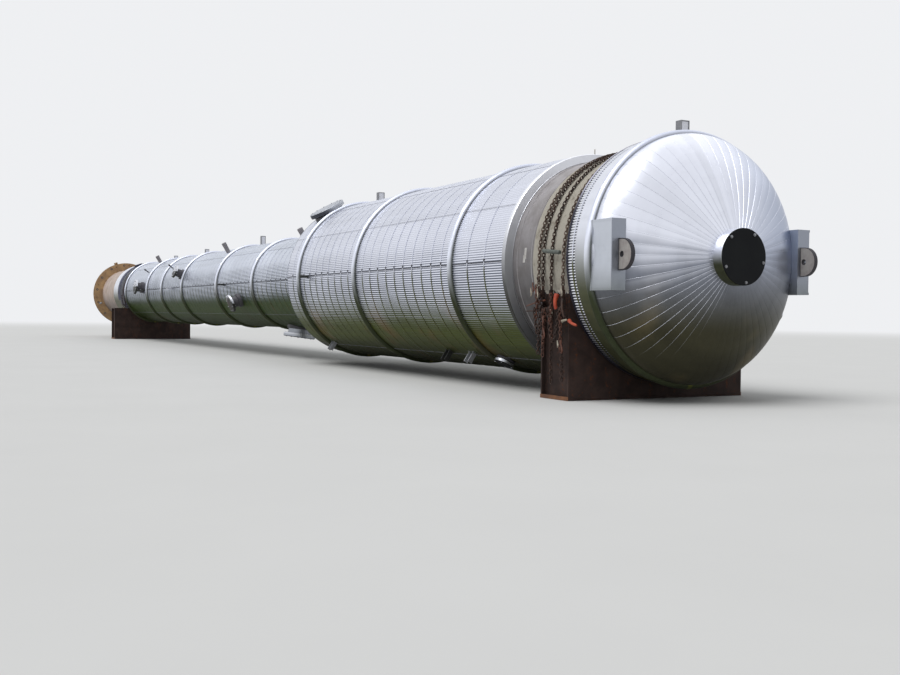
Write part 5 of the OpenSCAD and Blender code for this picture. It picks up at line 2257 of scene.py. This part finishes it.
@dataclass
class Studio:
    """Floor, backdrop, lamps and camera."""

    floor_size: float = 240.0
    camera_place: tuple[float, float, float] = (25.654, -8.125, 0.970)
    heading: float = 152.213
    pitch: float = -1.239
    roll: float = 0.653
    lens: float = 42.56
    sun_strength: float = 1.85
    fill_strength: float = 0.25
    sky_light: float = 0.50
    sky_colour: Colour = (0.95, 0.97, 1.0)

    def build(self) -> None:
        """Builds the studio."""
        self.floor()
        self.world()
        self.lamp("key_lamp", self.sun_strength, 42.0, (28.0, 0.0, 6.0))
        self.lamp("fill_lamp", self.fill_strength, 60.0, (-40.0, 0.0, 20.0))
        self.camera()
        bpy.context.scene.view_settings.view_transform = "Standard"

    def floor(self) -> None:
        """Lays the floor."""
        half = self.floor_size / 2
        mesh = bpy.data.meshes.new("studio_floor")
        corners = [(-half, -half, 0.0), (half, -half, 0.0), (half, half, 0.0), (-half, half, 0.0)]
        mesh.from_pydata(corners, [], [(0, 1, 2, 3)])
        mesh.materials.append(StudioFloor("stage", "studio_floor_paint").material())
        floor = bpy.data.objects.new("studio_floor", mesh)
        floor.location.z = -2 * MM
        bpy.context.scene.collection.objects.link(floor)

    def world(self) -> None:
        """Lights the scene evenly and shows a near white backdrop."""
        world = bpy.data.worlds.new("studio")
        bpy.context.scene.world = world
        world.use_nodes = True
        graph = Graph(world.node_tree)
        backdrop = (*StudioFloor.backdrop, 1.0)
        seen = graph.add("ShaderNodeBackground", {}, {"Color": backdrop, "Strength": 1.0})
        light = {"Color": (*self.sky_colour, 1.0), "Strength": self.sky_light}
        lit = graph.add("ShaderNodeBackground", {}, light)
        mixed = graph.add("ShaderNodeMixShader", {}, {0: graph.seen_rays(), 1: lit, 2: seen})
        graph.end(mixed, "ShaderNodeOutputWorld")

    def lamp(self, name: str, strength: float, spread: float, turns: Sequence[float]) -> None:
        """Hangs a wide soft lamp.

        Args:
            name: The lamp's name.
            strength: Its strength.
            spread: The angle over which it spreads, in degrees.
            turns: Its rotation about X, Y and Z, in degrees.
        """
        light = bpy.data.lights.new(name, "SUN")
        light.energy = strength
        light.angle = math.radians(spread)
        lamp = bpy.data.objects.new(name, light)
        lamp.rotation_euler = [math.radians(t) for t in turns]
        bpy.context.scene.collection.objects.link(lamp)

    def camera(self) -> None:
        """Puts the camera where the photograph was taken."""
        heading, pitch, roll = (math.radians(a) for a in (self.heading, self.pitch, self.roll))
        level = math.cos(pitch)
        ahead = Vector((math.cos(heading) * level, math.sin(heading) * level, math.sin(pitch)))
        flat = Vector((ahead.y, -ahead.x, 0.0)).normalized()
        up = flat.cross(ahead)
        right = flat * math.cos(roll) + up * math.sin(roll)
        up = right.cross(ahead)
        data = bpy.data.cameras.new("camera")
        data.lens = self.lens
        data.sensor_width = 36.0
        data.sensor_fit = "HORIZONTAL"
        data.clip_end = 400.0
        camera = bpy.data.objects.new("camera", data)
        turned = Matrix((right, up, -ahead)).transposed().to_4x4()
        camera.matrix_world = Matrix.Translation(self.camera_place) @ turned
        bpy.context.scene.collection.objects.link(camera)
        bpy.context.scene.camera = camera


FRONT_CHAINS = (32.035, 32.125, 32.305, 32.545)
REAR_CHAINS = (4.560, 4.950)
FRONT_FLAPS = ((0.28, 0.42, 2.2), (0.55, 0.80, 0.9))
HOOK_HEIGHT = 1.066
FRONT_POST = 1.224
REAR_POST = 1.066


def main() -> None:
    """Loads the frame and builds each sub-assembly in order."""
    logging.basicConfig(level=logging.INFO, format="%(name)s: %(message)s")
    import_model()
    low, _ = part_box("base_ring")
    shell_low, shell_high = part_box("upper_shell")
    column = Column(low.x, (shell_low.z + shell_high.z) / 2)
    Studio().build()
    for node, finish in PLAIN_NODES.items():
        dress(node, finish)
    Skirt(column).build()
    Jacket(column).build()
    TopHead(column).build()
    boxes = Shape()
    for side in Side:
        Lug(column, side).build(boxes)
    boxes.build("lug_box_sheets", BOX_SHEET, ["lug_boxes"], sharp=35.0)
    Fittings(column).build()
    Clips(column).build()
    Belt(column, "front_padding", BELT, -17.0, 197.0, flaps=FRONT_FLAPS, lap=0.05).build()
    Belt(column, "rear_padding", DARK_BELT, -14.0, 194.0, columns=12).build()
    FrontTieDown(column, "front_chains", "front_padding", FRONT_CHAINS, HOOK_HEIGHT).build()
    RearTieDown(column, "rear_chains", "rear_padding", REAR_CHAINS, HOOK_HEIGHT).build()
    SaddleTrim(column, "front_saddle", FRONT_POST).build()
    SaddleTrim(column, "rear_saddle", REAR_POST).build()


if __name__ == "__main__":
    main()
